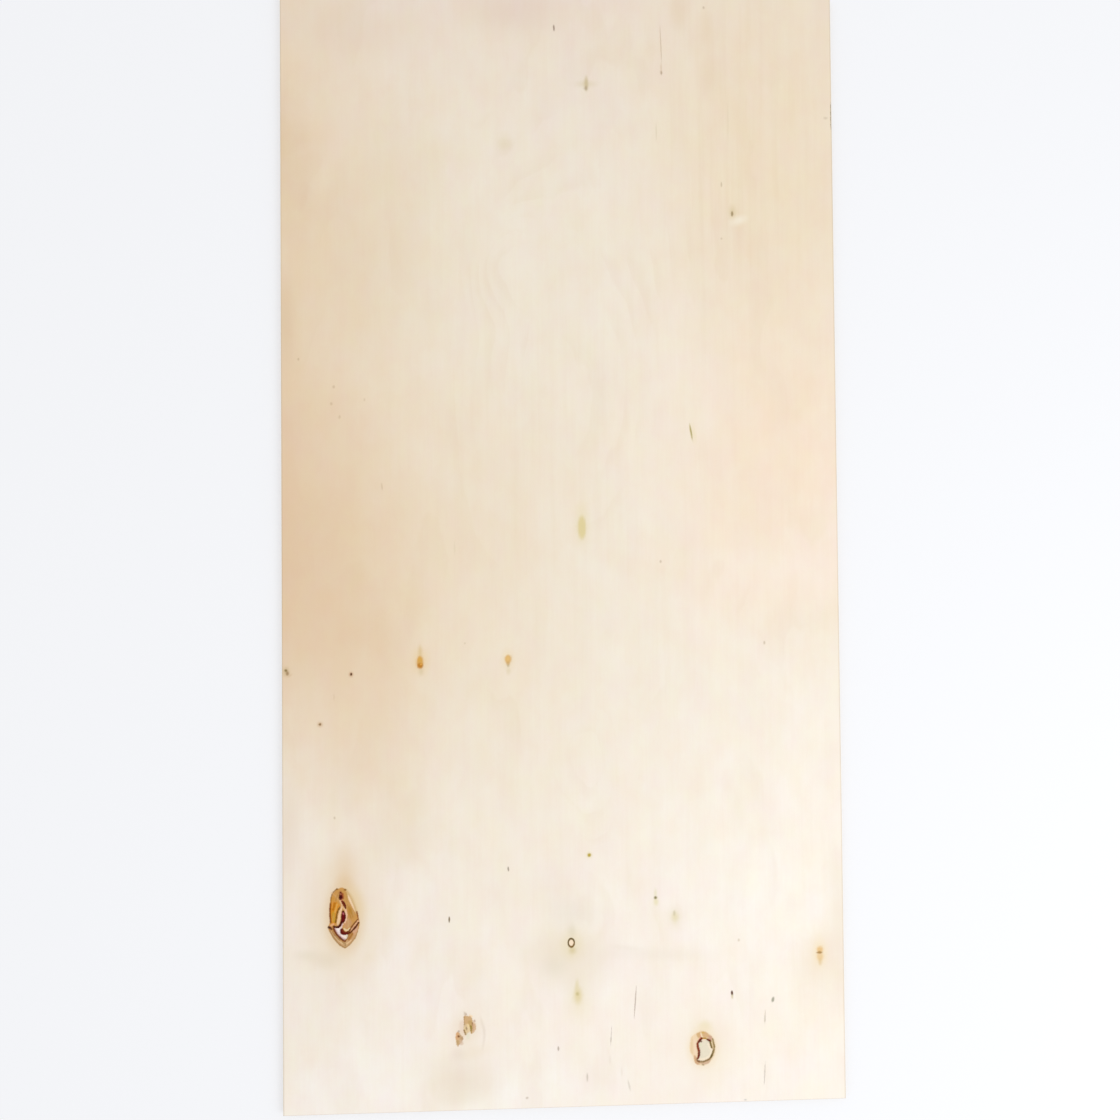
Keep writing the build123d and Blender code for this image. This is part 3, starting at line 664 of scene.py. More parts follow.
def veneerMaterial(look):
    material, tree = startMaterial(look["name"])
    where = addNode(tree, "TexCoord").outputs["Object"]

    # strongest in the middle of an oval place, fading to its rim
    def oval(x, y, halfX, halfY, strength, place):
        middle, half = (x / 1000, y / 1000, faceHeight / 1000), (halfX / 1000, halfY / 1000, 1)
        local = addNode(tree, "Mapping", {"vector_type": "TEXTURE", "Location": middle, "Scale": half},
                        {"Vector": place})
        fall = addNode(tree, "TexGradient", {"gradient_type": "SPHERICAL"}, {"Vector": local})
        return addNode(tree, "MapRange", {"interpolation_type": "SMOOTHSTEP", "To Max": strength},
                       {"Value": fall.outputs["Fac"]})

    def patterned(width, length, detail, roughness):
        shift, scale = (look["seed"], look["seed"], 0), (1000 / width, 1000 / length, 20)
        local = addNode(tree, "Mapping", {"Location": shift, "Scale": scale}, {"Vector": where})
        return addNode(tree, "TexNoise", {"Scale": 1, "Detail": detail, "Roughness": roughness},
                       {"Vector": local})

    # pulls the colour towards a shade: not where the pattern is low, and with full strength where it is high
    def pull(colour, shade, strength, pattern, shown, blend="MIX"):
        low, high = shown
        amount = addNode(tree, "MapRange", {"From Min": low, "From Max": high, "To Max": strength},
                         {"Value": pattern})
        return addNode(tree, "Mix", {"data_type": "RGBA", "blend_type": blend, 7: rgba(shade)},
                       {0: amount, 6: colour})

    driftSize, driftReach = (value / 1000 for value in look["cloudDrift"])
    drift = addNode(tree, "TexNoise", {"Scale": 1 / driftSize, "Detail": 5, "Roughness": 0.62},
                    {"Vector": where})
    driftMid = addNode(tree, "VectorMath", {"operation": "SUBTRACT", 1: (0.5, 0.5, 0.5)},
                       {0: drift.outputs["Color"]})
    drifted = addNode(tree, "VectorMath", {"operation": "MULTIPLY_ADD", 1: (driftReach, driftReach, 0)},
                      {0: driftMid, 2: where})
    colour = None
    for *place, tone, strength in look["clouds"]:
        below = {6: colour} if colour else {}
        colour = addNode(tree, "Mix", {"data_type": "RGBA", 6: rgba(look["cream"]), 7: rgba(tone)},
                         {0: oval(*place, strength, drifted), **below})

    # growth rings: contour lines of the swellings, wandering with a slow noise and a finer ripple, in patches
    wood = {name: patterned(*row) for name, row in look["patterns"].items()}
    hills = [(oval(*place, 1, where), height) for *place, height in look["swellings"]]
    field = wood["wander"]
    for rise, height in [(wood["ripple"], look["rippleHeight"])] + hills:
        field = addNode(tree, "Math", {"operation": "MULTIPLY_ADD", 1: height}, {0: rise, 2: field})
    turns = addNode(tree, "Math", {"operation": "MULTIPLY", 1: look["ringCount"]}, {0: field})
    ring = addNode(tree, "Math", {"operation": "FRACT"}, {0: turns})
    ringLine = addNode(tree, "ValToRGB", links={"Fac": ring})
    ramp = ringLine.color_ramp
    ramp.elements[0].color = (0, 0, 0, 1)
    ramp.elements[1].position, ramp.elements[1].color = 0.85, (1, 1, 1, 1)
    ramp.elements.new(1).color = (0, 0, 0, 1)
    low, high = look["ringShown"]
    ringShown = addNode(tree, "MapRange", {"From Min": low, "From Max": high}, {"Value": wood["patches"]})
    wood["ring"] = addNode(tree, "Math", {"operation": "MULTIPLY"}, {0: ringLine, 1: ringShown})
    for name in ("ring", "fibre", "streak", "mottle"):
        colour = pull(colour, *look[name], wood[name], look["woodShown"])
    for pattern, shade, strength in look["blotches"]:
        colour = pull(colour, shade, strength, patterned(*pattern), look["blotchShown"], "MULTIPLY")
    low, high = look["streakShown"]
    streakShown = addNode(tree, "MapRange", {"From Min": low, "From Max": high}, {"Value": wood["streak"]})
    streakShade = rgba(look["streak"][0])
    for band in look["streakBands"]:
        amount = addNode(tree, "Math", {"operation": "MULTIPLY"}, {0: streakShown, 1: oval(*band, drifted)})
        colour = addNode(tree, "Mix", {"data_type": "RGBA", 7: streakShade}, {0: amount, 6: colour})

    # painted shade: a thin darker band along the long edges, standing in for the eased arris falling away
    # from the light
    shade, strength, width = look["edgeShade"]
    across = addNode(tree, "SeparateXYZ", links={0: where}).outputs["X"]
    side = addNode(tree, "Math", {"operation": "ABSOLUTE"}, {0: across})
    colour = pull(colour, shade, strength, side, ((halfWidth - width) / 1000, halfWidth / 1000))

    # knots, stains and checks painted on the mesh
    tint = addNode(tree, "Attribute", {"attribute_name": "markTint"}).outputs["Color"]
    cover = addNode(tree, "Attribute", {"attribute_name": "markCover"}).outputs["Fac"]
    bare = addNode(tree, "Mix", {"data_type": "RGBA", 7: (0, 0, 0, 1)}, {0: cover, 6: colour})
    colour = addNode(tree, "Mix", {"data_type": "RGBA", "blend_type": "ADD", 0: 1}, {6: bare, 7: tint})
    finishWood(tree, look, colour, wood["fibre"], wood["fibre"])
    return material


# Sawn edge: five birch plies, long grain and end grain by turns, with thin dark glue lines between them
plyEdge = {
    "name": "sawn birch ply edge",
    "longGrain": "#E9D5B2",
    "endGrain": "#C9A678",
    "glue": ("#8A6440", 0.8),  # colour and strength
    "glueWidth": 0.16,  # real glue lines are finer; drawn coarser so that they show
    # patterns: size along the edge and up it in mm, detail
    "fibre": (14, 0.35, 3),
    "pores": (0.9, 0.9, 2),
    "sawMarks": (1.4, 20, 1),
    "shading": (0.82, 1.08),  # darkest and palest grain
    "endReach": 0.6,  # what lies this near an end belongs to the end cut
    "glueFree": 0.5,  # no glue line this near the two faces
    "roughness": 0.78,
    "specular": 0.15,
    "bump": 0.1,
    "bumpStrength": 0.5,
}


def edgeMaterial(look):
    material, tree = startMaterial(look["name"])
    ply = faceHeight / sheetMesh["plies"] / 1000
    where = addNode(tree, "TexCoord").outputs["Object"]
    axes = addNode(tree, "SeparateXYZ", links={0: where}).outputs
    layer = addNode(tree, "Math", {"operation": "DIVIDE", 1: ply}, {0: axes["Z"]})
    number = addNode(tree, "Math", {"operation": "FLOOR"}, {0: layer})
    # the end cuts show the grain the other way round from the long edges
    endFrom = (halfLength - look["endReach"]) / 1000
    beyond = addNode(tree, "Math", {"operation": "ABSOLUTE"}, {0: axes["Y"]})
    atEnd = addNode(tree, "Math", {"operation": "GREATER_THAN", 1: endFrom}, {0: beyond})
    turned = addNode(tree, "Math", {"operation": "ADD"}, {0: number, 1: atEnd})
    crossed = addNode(tree, "Math", {"operation": "FLOORED_MODULO", 1: 2}, {0: turned})

    def patterned(along, up, detail):
        scale = (1000 / along, 1000 / along, 1000 / up)
        local = addNode(tree, "Mapping", {"Scale": scale}, {"Vector": where})
        return addNode(tree, "TexNoise", {"Scale": 1, "Detail": detail}, {"Vector": local})

    fibre, pores, sawMarks = (patterned(*look[name]) for name in ("fibre", "pores", "sawMarks"))
    grain = addNode(tree, "Mix", {}, {0: crossed, 2: fibre, 3: pores})
    longGrain, endGrain = rgba(look["longGrain"]), rgba(look["endGrain"])
    wood = addNode(tree, "Mix", {"data_type": "RGBA", 6: longGrain, 7: endGrain}, {0: crossed})
    dark, pale = look["shading"]
    shade = addNode(tree, "MapRange", {"From Min": 0.3, "From Max": 0.7, "To Min": dark, "To Max": pale},
                    {"Value": grain})
    wood = addNode(tree, "Mix", {"data_type": "RGBA", "blend_type": "MULTIPLY", 0: 1}, {6: wood, 7: shade})
    # glue lines, at each ply's height but not at the faces
    glue, strength = look["glue"]
    glueWidth = look["glueWidth"] / 1000
    toGlue = addNode(tree, "Math", {"operation": "PINGPONG", 1: ply / 2}, {0: axes["Z"]})
    fade = {"From Min": 0.4 * glueWidth, "From Max": glueWidth, "To Min": strength, "To Max": 0}
    glueLine = addNode(tree, "MapRange", fade, {"Value": toGlue})
    halfway, glueReach = faceHeight / 2000, (faceHeight / 2 - look["glueFree"]) / 1000
    between = addNode(tree, "Math", {"operation": "COMPARE", 1: halfway, 2: glueReach}, {0: axes["Z"]})
    amount = addNode(tree, "Math", {"operation": "MULTIPLY"}, {0: glueLine, 1: between})
    wood = addNode(tree, "Mix", {"data_type": "RGBA", 7: rgba(glue)}, {0: amount, 6: wood})
    relief = addNode(tree, "Math", {"operation": "ADD"}, {0: grain, 1: sawMarks})
    finishWood(tree, look, wood, grain, relief)
    return material


skins = [veneerMaterial(faceVeneer), edgeMaterial(plyEdge), veneerMaterial(backVeneer)]
print("materials made:", ", ".join(material.name for material in skins))

# Points that carry each small mark's size, colour, touch and lean, for the stamping tree
markMesh = bpy.data.meshes.new("markPoints")
markMesh.from_pydata([(x, y, 0) for x, y, *_ in markRows], [], [])
carried = [
    ("span", "FLOAT_VECTOR", "vector", lambda row: (row[2], row[3], 1)),
    ("tint", "FLOAT_COLOR", "color", lambda row: rgba(row[4])),
    ("touch", "FLOAT_VECTOR", "vector", lambda row: row[5:8]),  # strength, softness, sink
    ("lean", "FLOAT", "value", lambda row: [math.radians(row[8])]),
]
for name, kind, field, ofRow in carried:
    values = [value for row in markRows for value in ofRow(row)]
    markMesh.attributes.new(name, kind, "POINT").data.foreach_set(field, values)
markPoints = addObject("markPoints", markMesh)


# Stamps the marks one after another into the face's tint and cover, and sinks the deeper ones
def stampTree():
    tree = bpy.data.node_groups.new("stampMarks", "GeometryNodeTree")
    kinds = {"Sheet": "Geometry", "Marks": "Object", "Face From": "Float", "Fibre Wander": "Float",
             "Wander Size": "Float", "Seed": "Int"}
    kinds |= dict.fromkeys(("Face", "Edge", "Underside"), "Material")
    for name, kind in kinds.items():
        tree.interface.new_socket(name=name, in_out="INPUT", socket_type="NodeSocket" + kind)
    tree.interface.new_socket(name="Sheet", in_out="OUTPUT", socket_type="NodeSocketGeometry")
    given = addNode(tree, "NodeGroupInput").outputs
    marks = addNode(tree, "GeometryNodeObjectInfo", links={"Object": given["Marks"]}).outputs["Geometry"]
    count = addNode(tree, "GeometryNodeAttributeDomainSize", links={"Geometry": marks})
    start = addNode(tree, "GeometryNodeRepeatInput")
    end = addNode(tree, "GeometryNodeRepeatOutput")
    start.pair_with_output(end)
    tree.links.new(count.outputs["Point Count"], start.inputs["Iterations"])
    position = addNode(tree, "GeometryNodeInputPosition").outputs[0]

    # a little wander along the fibres, worked out once and kept on the points
    wanderAt = addNode(tree, "VectorMath", {"operation": "DIVIDE"}, {0: position, 1: given["Wander Size"]})
    wander = addNode(tree, "TexNoise", {"noise_dimensions": "4D", "Scale": 1, "Detail": 2},
                     {"Vector": wanderAt, "W": given["Seed"]})
    wanderMid = addNode(tree, "VectorMath", {"operation": "SUBTRACT", 1: (0.5, 0.5, 0.5)},
                        {0: wander.outputs["Color"]})
    wanderBy = addNode(tree, "VectorMath", {"operation": "SCALE"},
                       {0: wanderMid, "Scale": given["Fibre Wander"]})
    swayed = addNode(tree, "GeometryNodeStoreNamedAttribute", {"data_type": "FLOAT_VECTOR", "Name": "wander"},
                     {"Geometry": given["Sheet"], "Value": wanderBy})
    tree.links.new(swayed.outputs[0], start.inputs["Geometry"])

    # what the points of the sheet and of the marks carry, and the values of the mark at hand
    onMarks = [row[:2] for row in carried]
    onSheet = [("wander", "FLOAT_VECTOR"), ("skin", "INT"),
               ("markTint", "FLOAT_COLOR"), ("markCover", "FLOAT")]
    kept, own = {"middle": position}, {}
    for name, kind in onSheet + onMarks:
        kept[name] = addNode(tree, "GeometryNodeInputNamedAttribute", {"data_type": kind, "Name": name})
    for name, kind in [("middle", "FLOAT_VECTOR")] + onMarks:
        own[name] = addNode(tree, "GeometryNodeSampleIndex", {"data_type": kind, "domain": "POINT"},
                            {"Geometry": marks, "Value": kept[name], "Index": start.outputs["Iteration"]})

    # how far a place lies from the mark's middle, in the mark's own half sizes
    gap = addNode(tree, "VectorMath", {"operation": "SUBTRACT"}, {0: position, 1: own["middle"]})
    wandered = addNode(tree, "VectorMath", {"operation": "ADD"}, {0: gap, 1: kept["wander"]})
    flat = addNode(tree, "VectorMath", {"operation": "MULTIPLY", 1: (1, 1, 0)}, {0: wandered})
    upright = addNode(tree, "VectorRotate", {"rotation_type": "Z_AXIS"},
                      {"Vector": flat, "Angle": own["lean"]})
    scaled = addNode(tree, "VectorMath", {"operation": "DIVIDE"}, {0: upright, 1: own["span"]})
    reach = addNode(tree, "VectorMath", {"operation": "LENGTH"}, {0: scaled})
    touch = addNode(tree, "SeparateXYZ", links={0: own["touch"]}).outputs
    inner = addNode(tree, "Math", {"operation": "SUBTRACT", 0: 1}, {1: touch["Y"]})
    outer = addNode(tree, "Math", {"operation": "ADD", 0: 1}, {1: touch["Y"]})
    inside = addNode(tree, "MapRange", {"interpolation_type": "SMOOTHSTEP", "To Min": 1, "To Max": 0},
                     {"Value": reach, "From Min": inner, "From Max": outer})
    height = addNode(tree, "SeparateXYZ", links={0: position}).outputs["Z"]
    onFace = addNode(tree, "Math", {"operation": "GREATER_THAN"}, {0: height, 1: given["Face From"]})
    amount = addNode(tree, "Math", {"operation": "MULTIPLY"}, {0: inside, 1: onFace})
    laid = addNode(tree, "Math", {"operation": "MULTIPLY"}, {0: amount, 1: touch["X"]})

    newTint = addNode(tree, "Mix", {"data_type": "RGBA"}, {0: laid, 6: kept["markTint"], 7: own["tint"]})
    newCover = addNode(tree, "Mix", {3: 1}, {0: laid, 2: kept["markCover"]})
    painted = start.outputs["Geometry"]
    for name, kind, value in (("markTint", "FLOAT_COLOR", newTint), ("markCover", "FLOAT", newCover)):
        painted = addNode(tree, "GeometryNodeStoreNamedAttribute", {"data_type": kind, "Name": name},
                          {"Geometry": painted, "Value": value})
    depth = addNode(tree, "Math", {"operation": "MULTIPLY"}, {0: amount, 1: touch["Z"]})
    down = addNode(tree, "VectorMath", {"operation": "SCALE", 0: (0, 0, -1)}, {"Scale": depth})
    sunk = addNode(tree, "GeometryNodeSetPosition", links={"Geometry": painted, "Offset": down})
    tree.links.new(sunk.outputs[0], end.inputs["Geometry"])

    cleared = addNode(tree, "GeometryNodeRemoveAttribute", {"Name": "wander"},
                      {"Geometry": end.outputs["Geometry"]})
    sheet = addNode(tree, "GeometryNodeRealizeInstances", links={"Geometry": cleared})
    for number, name in enumerate(("Face", "Edge", "Underside")):
        chosen = addNode(tree, "FunctionNodeCompare", {"data_type": "INT", "operation": "EQUAL", 3: number},
                         {2: kept["skin"]})
        sheet = addNode(tree, "GeometryNodeSetMaterial",
                        links={"Geometry": sheet, "Selection": chosen, "Material": given[name]})
    addNode(tree, "NodeGroupOutput", links={"Sheet": sheet})
    return tree


stamp = blank.modifiers.new("stampMarks", "NODES")
stamp.node_group = stampTree()
treeInputs = [item for item in stamp.node_group.interface.items_tree if item.in_out == "INPUT"]
sockets = {item.name: item.identifier for item in treeInputs}
stampInputs = {"Marks": markPoints, "Face From": faceFrom, "Fibre Wander": 0.9, "Wander Size": 2.5, "Seed": 5,
               "Face": skins[0], "Edge": skins[1], "Underside": skins[2]}
for name, value in stampInputs.items():
    stamp[sockets[name]] = value
bpy.context.view_layer.update()
sheetData = bpy.data.meshes.new_from_object(blank.evaluated_get(bpy.context.evaluated_depsgraph_get()))
sheetData.name = "birchPlywoodSheet"
blank.modifiers.remove(stamp)
for helper in (blank, markPoints):
    bpy.data.objects.remove(helper)
print("stamped", len(markRows), "small marks on", len(sheetData.vertices), "points")


# Smooth closed curve through a list of points
def closedCurve(points, steps=8):
    p = np.array(points, float)
    a, b, c, d = (np.roll(p, shift, 0)[:, None, :] for shift in (1, 0, -1, -2))
    t = np.linspace(0, 1, steps, endpoint=False)[None, :, None]
    square, cube = 2 * a - 5 * b + 4 * c - d, 3 * b - a - 3 * c + d
    return (0.5 * (2 * b + (c - a) * t + square * t ** 2 + cube * t ** 3)).reshape(-1, 2)


# Distance from each place to a line of points
def toPath(places, path):
    a, step = path[:-1], path[1:] - path[:-1]
    share = ((places[:, None] - a) * step).sum(2) / np.maximum((step ** 2).sum(1), 1e-9)
    share = np.clip(share, 0, 1)
    return np.linalg.norm(places[:, None] - (a + share[..., None] * step), axis=2).min(1)


# Positive inside a closed loop, negative outside, in mm
def depthIn(places, loop):
    closed = np.vstack([loop, loop[:1]])
    gap = toPath(places, closed)
    a, b = closed[:-1], closed[1:]
    x, y = places[:, :1], places[:, 1:]
    crosses = (a[:, 1] > y) != (b[:, 1] > y)
    rise = np.where(b[:, 1] == a[:, 1], 1e-9, b[:, 1] - a[:, 1])
    odd = (crosses & (x < (b[:, 0] - a[:, 0]) * (y - a[:, 1]) / rise + a[:, 0])).sum(1) % 2 == 1
    return np.where(odd, gap, -gap)


def smooth(value, low, high):
    t = np.clip((value - low) / (high - low), 0, 1)
    return t * t * (3 - 2 * t)


def fetch(data, name, width=1, kind=float):
    values = np.empty(width * len(data), kind)
    data.foreach_get(name, values)
    return values.reshape(-1, width) if width > 1 else values


points = fetch(sheetData.vertices, "co", 3)
tint = fetch(sheetData.attributes["markTint"].data, "color", 4)
cover = fetch(sheetData.attributes["markCover"].data, "value")
onFace = points[:, 2] > faceFrom


# Face points within reach of a middle, and their places from it, swayed by a few uneven waves as fibres are
def around(middle, reach, wander):
    near = np.where(onFace & (np.abs(points[:, :2] - middle) < reach).all(1))[0]
    x, y = (points[near, :2] - middle).T
    sway = np.sin(y * 0.9 + x * 2.1) + np.sin(y * 2.3 - x * 1.3 + 1.7)
    heave = np.sin(x * 1.1 + 0.6) + np.sin(x * 2.7 + y * 0.8)
    return near, np.stack([x + wander * sway / 2, y + wander * heave / 2], 1)


def lay(near, amount, hexColour):
    tint[near, :3] = tint[near, :3] * (1 - amount[:, None]) + amount[:, None] * np.array(linear(hexColour))
    cover[near] = cover[near] * (1 - amount) + amount


def press(near, amount, depth):
    points[near, 2] = np.minimum(points[near, 2], faceHeight - depth * amount)


def paintAreas(near, local, areas):
    for hexColour, edge, strength, corners in areas:
        lay(near, strength * smooth(depthIn(local, closedCurve(corners)), -0.5 * edge, 0.5 * edge), hexColour)


def paintLines(near, local, lines):
    for hexColour, width, strength, line in lines:
        gap = toPath(local, np.array(line, float))
        lay(near, strength * (1 - smooth(gap, 0.2 * width, 0.8 * width)), hexColour)


def sized(shares, size):
    return closedCurve([(a * size[0], b * size[1]) for a, b in shares])


# Bark knot: sunk almond of dry wood, its painted grain, the gap with the next ply in it, then the bark seams.
# In these blocks the two numbers after a depth are where an edge starts and ends, in mm.
near, local = around(barkKnot["middle"], barkKnot["reach"], barkKnot["wander"])
body = depthIn(local, sized(barkKnot["outline"], barkKnot["size"]))
lay(near, smooth(body, -0.5, 0.6), barkKnot["wood"])
press(near, smooth(body, 0, 0.6), barkKnot["sink"])
paintAreas(near, local, barkKnot["areas"])
x, y = local.T
for pitch, shade, strength in barkKnot["rings"]:
    waves = np.sin(2 * math.pi * body / pitch + 1.1 * np.sin(y * 0.33) + 0.8 * np.sin(x * 0.7 + 1))
    broken = 0.5 + 0.5 * np.sin(y * 0.42 + 2 * np.sin(x * 0.35))
    lay(near, strength * broken * smooth(waves, 0.1, 0.9) * smooth(body, 0.3, 1), shade)
paintLines(near, local, barkKnot["lines"])
gap = depthIn(local, sized(barkKnot["gap"], barkKnot["size"]))
lay(near, smooth(gap, -0.2, 0.4), barkKnot["floor"])
press(near, smooth(gap, -0.1, 0.4), barkKnot["gapDepth"])
for outline in barkKnot["seams"]:
    seam = depthIn(local, sized(outline, barkKnot["size"]))
    lay(near, smooth(seam, -0.7, 0.1), barkKnot["bark"])
    press(near, smooth(seam, -0.2, 0.4), barkKnot["seamDepth"])
paintLines(near, local, barkKnot["glints"])

# Open knot: sunk collar with its painted rim, and the hole that shows the next ply
near, local = around(openKnot["middle"], openKnot["reach"], openKnot["wander"])
body = depthIn(local, sized(openKnot["outline"], openKnot["size"]))
lay(near, 0.9 * smooth(body, -1.6, 1.4), openKnot["wood"])
press(near, smooth(body, 0, 0.6), openKnot["sink"])
holeShift = np.array(openKnot["holeMiddle"]) - np.array(openKnot["middle"])
hole = depthIn(local - holeShift, sized(openKnot["hole"], openKnot["holeSize"]))
press(near, smooth(hole, -0.1, 0.4), openKnot["holeDepth"])
paintAreas(near, local, openKnot["areas"])
# painted shade: the hole's floor is the next ply, laid darker than the face as if shaded in its recess
lay(near, smooth(hole, -0.3, 0.5), openKnot["floor"])
paintLines(near, local, openKnot["glints"] + openKnot["lines"])

# Torn grain: two shallow ragged places
near, local = around(tornGrain["middle"], tornGrain["reach"], tornGrain["wander"])
ragged = 0.75 + 0.25 * np.sin(points[near, 0] * 5.2 + np.sin(points[near, 1] * 0.7))
for middle, size, outline in tornGrain["tears"]:
    torn = depthIn(local + np.array(tornGrain["middle"]) - np.array(middle), sized(outline, size))
    lay(near, 0.95 * smooth(torn, -0.5, 0.9), tornGrain["wood"])
    press(near, smooth(torn, -0.2, 0.6) * ragged, tornGrain["depth"])
paintAreas(near, local, tornGrain["areas"])
paintLines(near, local, tornGrain["lines"])

# Ring knot: a groove round a pale plug
near, local = around(ringKnot["middle"], ringKnot["reach"], ringKnot["wander"])
half = np.array(ringKnot["half"])
ringGap = (np.linalg.norm(local / half, axis=1) - 1) * half.mean()
lay(near, 1 - smooth(ringGap, -0.8, 0.2), ringKnot["inside"])
onRing = 1 - smooth(np.abs(ringGap), 0.3 * ringKnot["groove"], 0.75 * ringKnot["groove"])
lay(near, 0.95 * onRing, ringKnot["line"])
lay(near, 0.7 * onRing * smooth(local[:, 0] - local[:, 1], 0.5, 4), ringKnot["lineLow"])
press(near, onRing, ringKnot["depth"])

# Checks, each a slender lens
for x, y, halfSpan, lean, shade, strength in openChecks["rows"]:
    near, local = around((x, y), (4, halfSpan + 2), openChecks["wander"])
    aside = np.abs(local[:, 0] - math.tan(math.radians(lean)) * local[:, 1])
    lens = openChecks["width"] / 2 * (1 - (local[:, 1] / halfSpan) ** 2) - aside
    lay(near, strength * smooth(lens, -0.5, 0.1), shade)
    press(near, smooth(lens, -0.25, 0.1), openChecks["depth"])

# Splinter bitten out of the right-hand arris; its painted shade ends more bluntly than the bite itself
near, local = around((halfWidth, splinter["along"]), (6, splinter["length"] / 2 + 2), splinter["wander"])
share = 2 * local[:, 1] / splinter["length"]
bite, shadeBand = (splinter["reach"] * (1 - share ** power) + local[:, 0] for power in (2, 8))
# painted shade over the bite and a little beyond it
lay(near, splinter["shadeStrength"] * smooth(shadeBand, -0.5, 0.4), splinter["colour"])
press(near, smooth(bite, -0.2, 0.3), splinter["depth"])

# Sawn long edges: the plies stand back unevenly, and the cross plies the most
wall = np.abs(points[:, 0]) > halfWidth - sheetMesh["wallBand"]
plyOf = np.floor(points[:, 2] / (faceHeight / sheetMesh["plies"]))
fray = 0.5 + 0.5 * np.sin(points[:, 1] * 0.61 + plyOf * 2) * np.sin(points[:, 1] * 0.17 + plyOf)
lift = sheetMesh["fibreLift"] * fray * np.where(plyOf % 2 == 1, 1, 0.3)
points[:, 0] -= np.sign(points[:, 0]) * wall * lift

# Bake map in pixels: the face along the top, the knots enlarged on islands of their own, then the edges and
# the underside
bakeMap = {
    "side": 1024,
    "margin": 6,
    "facePitch": 1.22,  # mm for a pixel
    "knotPitch": 0.36,
    "backPitch": 2.1,
    "edgePitch": 0.25,  # up the sawn edges
    "edgeRows": (519, 559, 599),  # left, right, then the two ends side by side
    "endShift": 508,
    "backRow": 646,
    "gap": 14,
    # corner of each row of islands, then each enlarged place: middle and half sizes in mm
    "rows": [
        ((608, 646), [(-239.9, -400.9, 25, 43), (147.6, -550.8, 18, 25), (-108, -524, 19, 24)]),
        ((608, 902), [
            (5.2, -433.7, 9, 10), (-156.5, -126, 7, 14), (-61, -126, 6, 12), (278.6, -453, 6, 14),
            (30.3, 509, 8, 12), (21, 19, 7, 18),
        ]),
        ((10, 950), [
            (97.5, -387, 4, 8), (118.6, -406, 4, 8), (25.8, -339, 4, 4), (-230.9, -139.1, 4, 4),
            (-264.4, -192.7, 4, 4), (-299.8, -135.5, 4, 4), (191.8, 366, 5, 7), (142.7, 123, 4, 11),
            (180.8, -493, 4, 6), (225.8, -500, 4, 4), (-4.8, 572.4, 4, 5), (-126.7, -405.3, 4, 5),
        ]),
    ],
}


def bakePlaces(count, starts, corners, skinOf):
    place = points[corners]
    middle = np.add.reduceat(place, starts) / count[:, None]
    at, island = np.repeat(middle, count, 0), np.repeat(skinOf, count)
    pitch, margin = bakeMap["facePitch"], bakeMap["margin"]
    across, along = place[:, 0], place[:, 1]
    uv = margin + np.stack([along + halfLength, halfWidth - across], 1) / pitch
    under = np.stack([along + halfLength, across + halfWidth], 1) / bakeMap["backPitch"]
    uv[island == 2] = under[island == 2] + (margin, bakeMap["backRow"])
    # sawn edges, rolled flat together with their eased arrises
    inset = (halfWidth, halfLength) - np.abs(place[:, :2])
    atEnd = halfLength - np.abs(at[:, 1]) < halfWidth - np.abs(at[:, 0])
    side = np.where(atEnd, np.sign(at[:, 1]), np.sign(at[:, 0]))
    run = margin + np.where(atEnd, halfWidth - side * across + (side > 0) * bakeMap["endShift"] * pitch,
                            halfLength + side * along) / pitch
    up = place[:, 2] + np.sign(at[:, 2] - faceHeight / 2) * np.where(atEnd, inset[:, 1], inset[:, 0])
    row = np.choose(np.where(atEnd, 2, side > 0), bakeMap["edgeRows"])
    edge = np.stack([run, row + up / bakeMap["edgePitch"]], 1)
    uv[island == 1] = edge[island == 1]
    # enlarged places on the face
    for (u, v), places in bakeMap["rows"]:
        for x, y, halfX, halfY in places:
            inside = (island == 0) & (np.abs(at[:, 0] - x) < halfX) & (np.abs(at[:, 1] - y) < halfY)
            local = (place[:, :2] - (x - halfX, y - halfY)) / bakeMap["knotPitch"]
            uv[inside] = local[inside] + (u, v)
            u += 2 * halfX / bakeMap["knotPitch"] + bakeMap["gap"]
    return uv / bakeMap["side"]


count, starts = (fetch(sheetData.polygons, name, 1, int) for name in ("loop_total", "loop_start"))
corners = fetch(sheetData.loops, "vertex_index", 1, int)
skinOf = fetch(sheetData.attributes["skin"].data, "value", 1, int)
bakePlace = bakePlaces(count, starts, corners, skinOf)
sheetData.uv_layers.new(name="OFBake").uv.foreach_set("vector", bakePlace.ravel())
sheetData.vertices.foreach_set("co", (points / 1000).ravel())
sheetData.attributes["markTint"].data.foreach_set("color", tint.ravel())
sheetData.attributes["markCover"].data.foreach_set("value", cover)
sheetData.update()
sheet = addObject("birchPlywoodSheet", sheetData)
sheetData.calc_loop_triangles()
print("knots cut and painted,", len(sheetData.loop_triangles), "triangles")

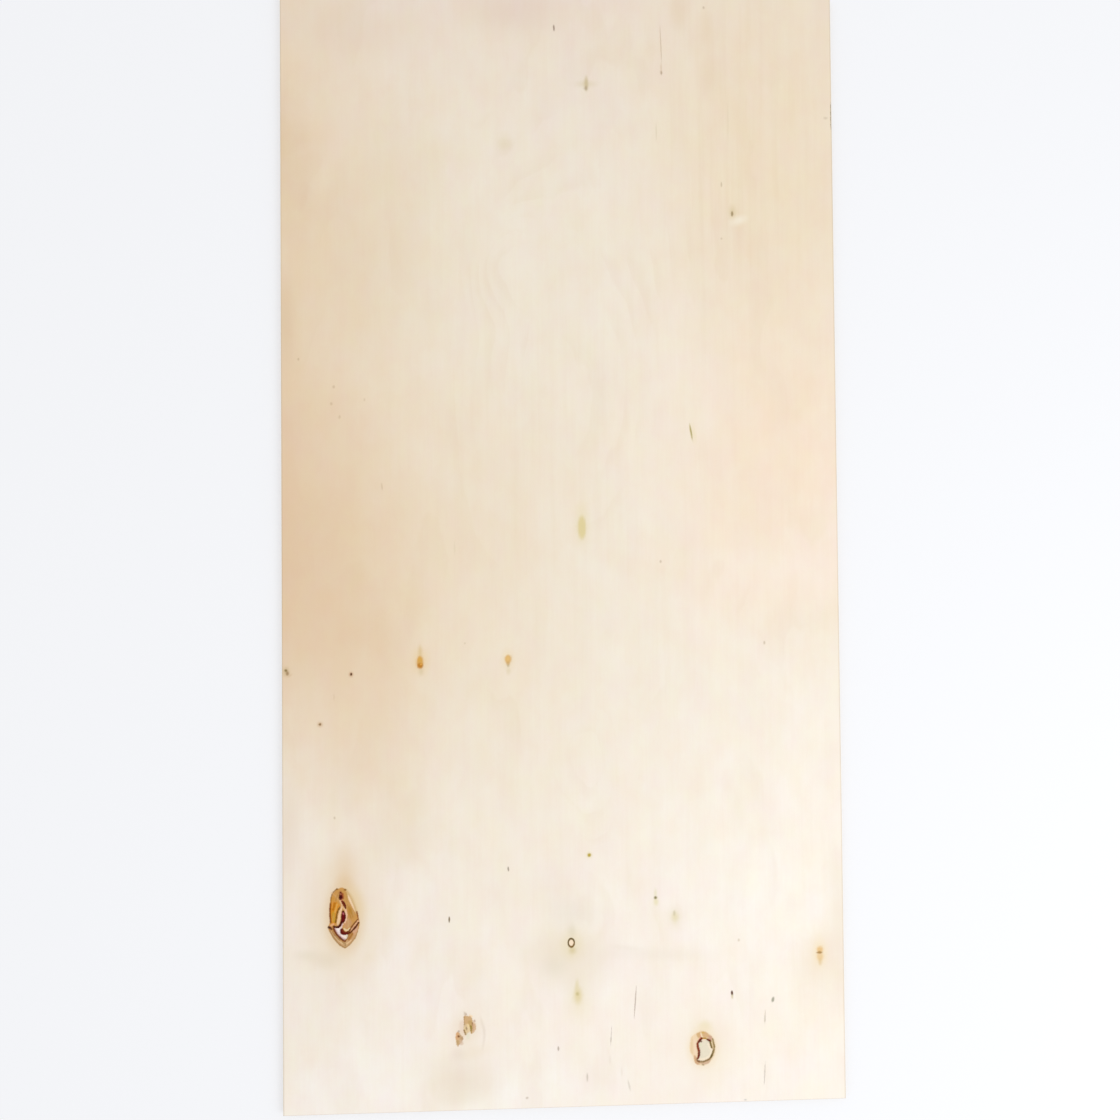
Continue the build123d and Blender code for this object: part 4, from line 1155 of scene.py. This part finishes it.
# Floor, light and camera, in metres, with the camera's turn in degrees
studio = {
    "floorSize": 12,
    "floorDrop": 0.0003,  # just under the sheet, so that the two don't flicker
    "floor": "#F4F6FA",
    "floorGlow": "#FDFDFF",
    "glowShare": 0.45,
    "skyStrength": 0.84,
    "keyPlace": (1.4, -0.8, 1.3),
    "keySize": 1.2,
    "keyPower": 10,
    "eye": (-0.0362, -0.033, 0.928),
    "turn": (1.01, -2.035, -0.51),
    "lens": 27.06,  # mm, as the sensor
    "sensor": 36,
}
floorMesh = bpy.data.meshes.new("paleFloor")
reach = studio["floorSize"] / 2
floorCorners = [(x * reach, y * reach, -studio["floorDrop"]) for x, y in ((-1, -1), (1, -1), (1, 1), (-1, 1))]
floorMesh.from_pydata(floorCorners, [], [(0, 1, 2, 3)])
addObject("paleFloor", floorMesh)
paper, tree = startMaterial("matt white paper")  # plain, no gloss, takes the sheet's soft shadow
plain = addNode(tree, "BsdfDiffuse", {"Color": rgba(studio["floor"])})
glow = addNode(tree, "Emission", {"Color": rgba(studio["floorGlow"])})
ray = addNode(tree, "LightPath").outputs
seen = addNode(tree, "Math", {"operation": "MAXIMUM"}, {0: ray["Is Camera Ray"], 1: ray["Is Glossy Ray"]})
share = addNode(tree, "Math", {"operation": "MULTIPLY", 1: studio["glowShare"]}, {0: seen})
mixed = addNode(tree, "MixShader", {}, {0: share, 1: plain, 2: glow})
addNode(tree, "OutputMaterial", links={"Surface": mixed})
floorMesh.materials.append(paper)

world = bpy.data.worlds.new("softStudio")
bpy.context.scene.world = world
world.use_nodes = True
world.node_tree.nodes.clear()
sky = addNode(world.node_tree, "Background", {"Color": (1, 1, 1, 1), "Strength": studio["skyStrength"]})
addNode(world.node_tree, "OutputWorld", links={"Surface": sky})
keyData = bpy.data.lights.new("softKey", "AREA")
keyData.shape, keyData.size, keyData.energy = "DISK", studio["keySize"], studio["keyPower"]
key = addObject("softKey", keyData)
key.location = studio["keyPlace"]
keyX, keyY, keyZ = studio["keyPlace"]
key.rotation_euler = (math.atan2(math.hypot(keyX, keyY), keyZ), 0, math.atan2(keyY, keyX) + math.pi / 2)
cameraData = bpy.data.cameras.new("fromAbove")
cameraData.sensor_width, cameraData.lens = studio["sensor"], studio["lens"]
camera = addObject("fromAbove", cameraData)
camera.location = studio["eye"]
camera.rotation_euler = [math.radians(value) for value in studio["turn"]]
bpy.context.scene.camera = camera
bpy.context.scene.view_settings.view_transform = "Standard"

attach(sheet, "root")
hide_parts("plywood_sheet")
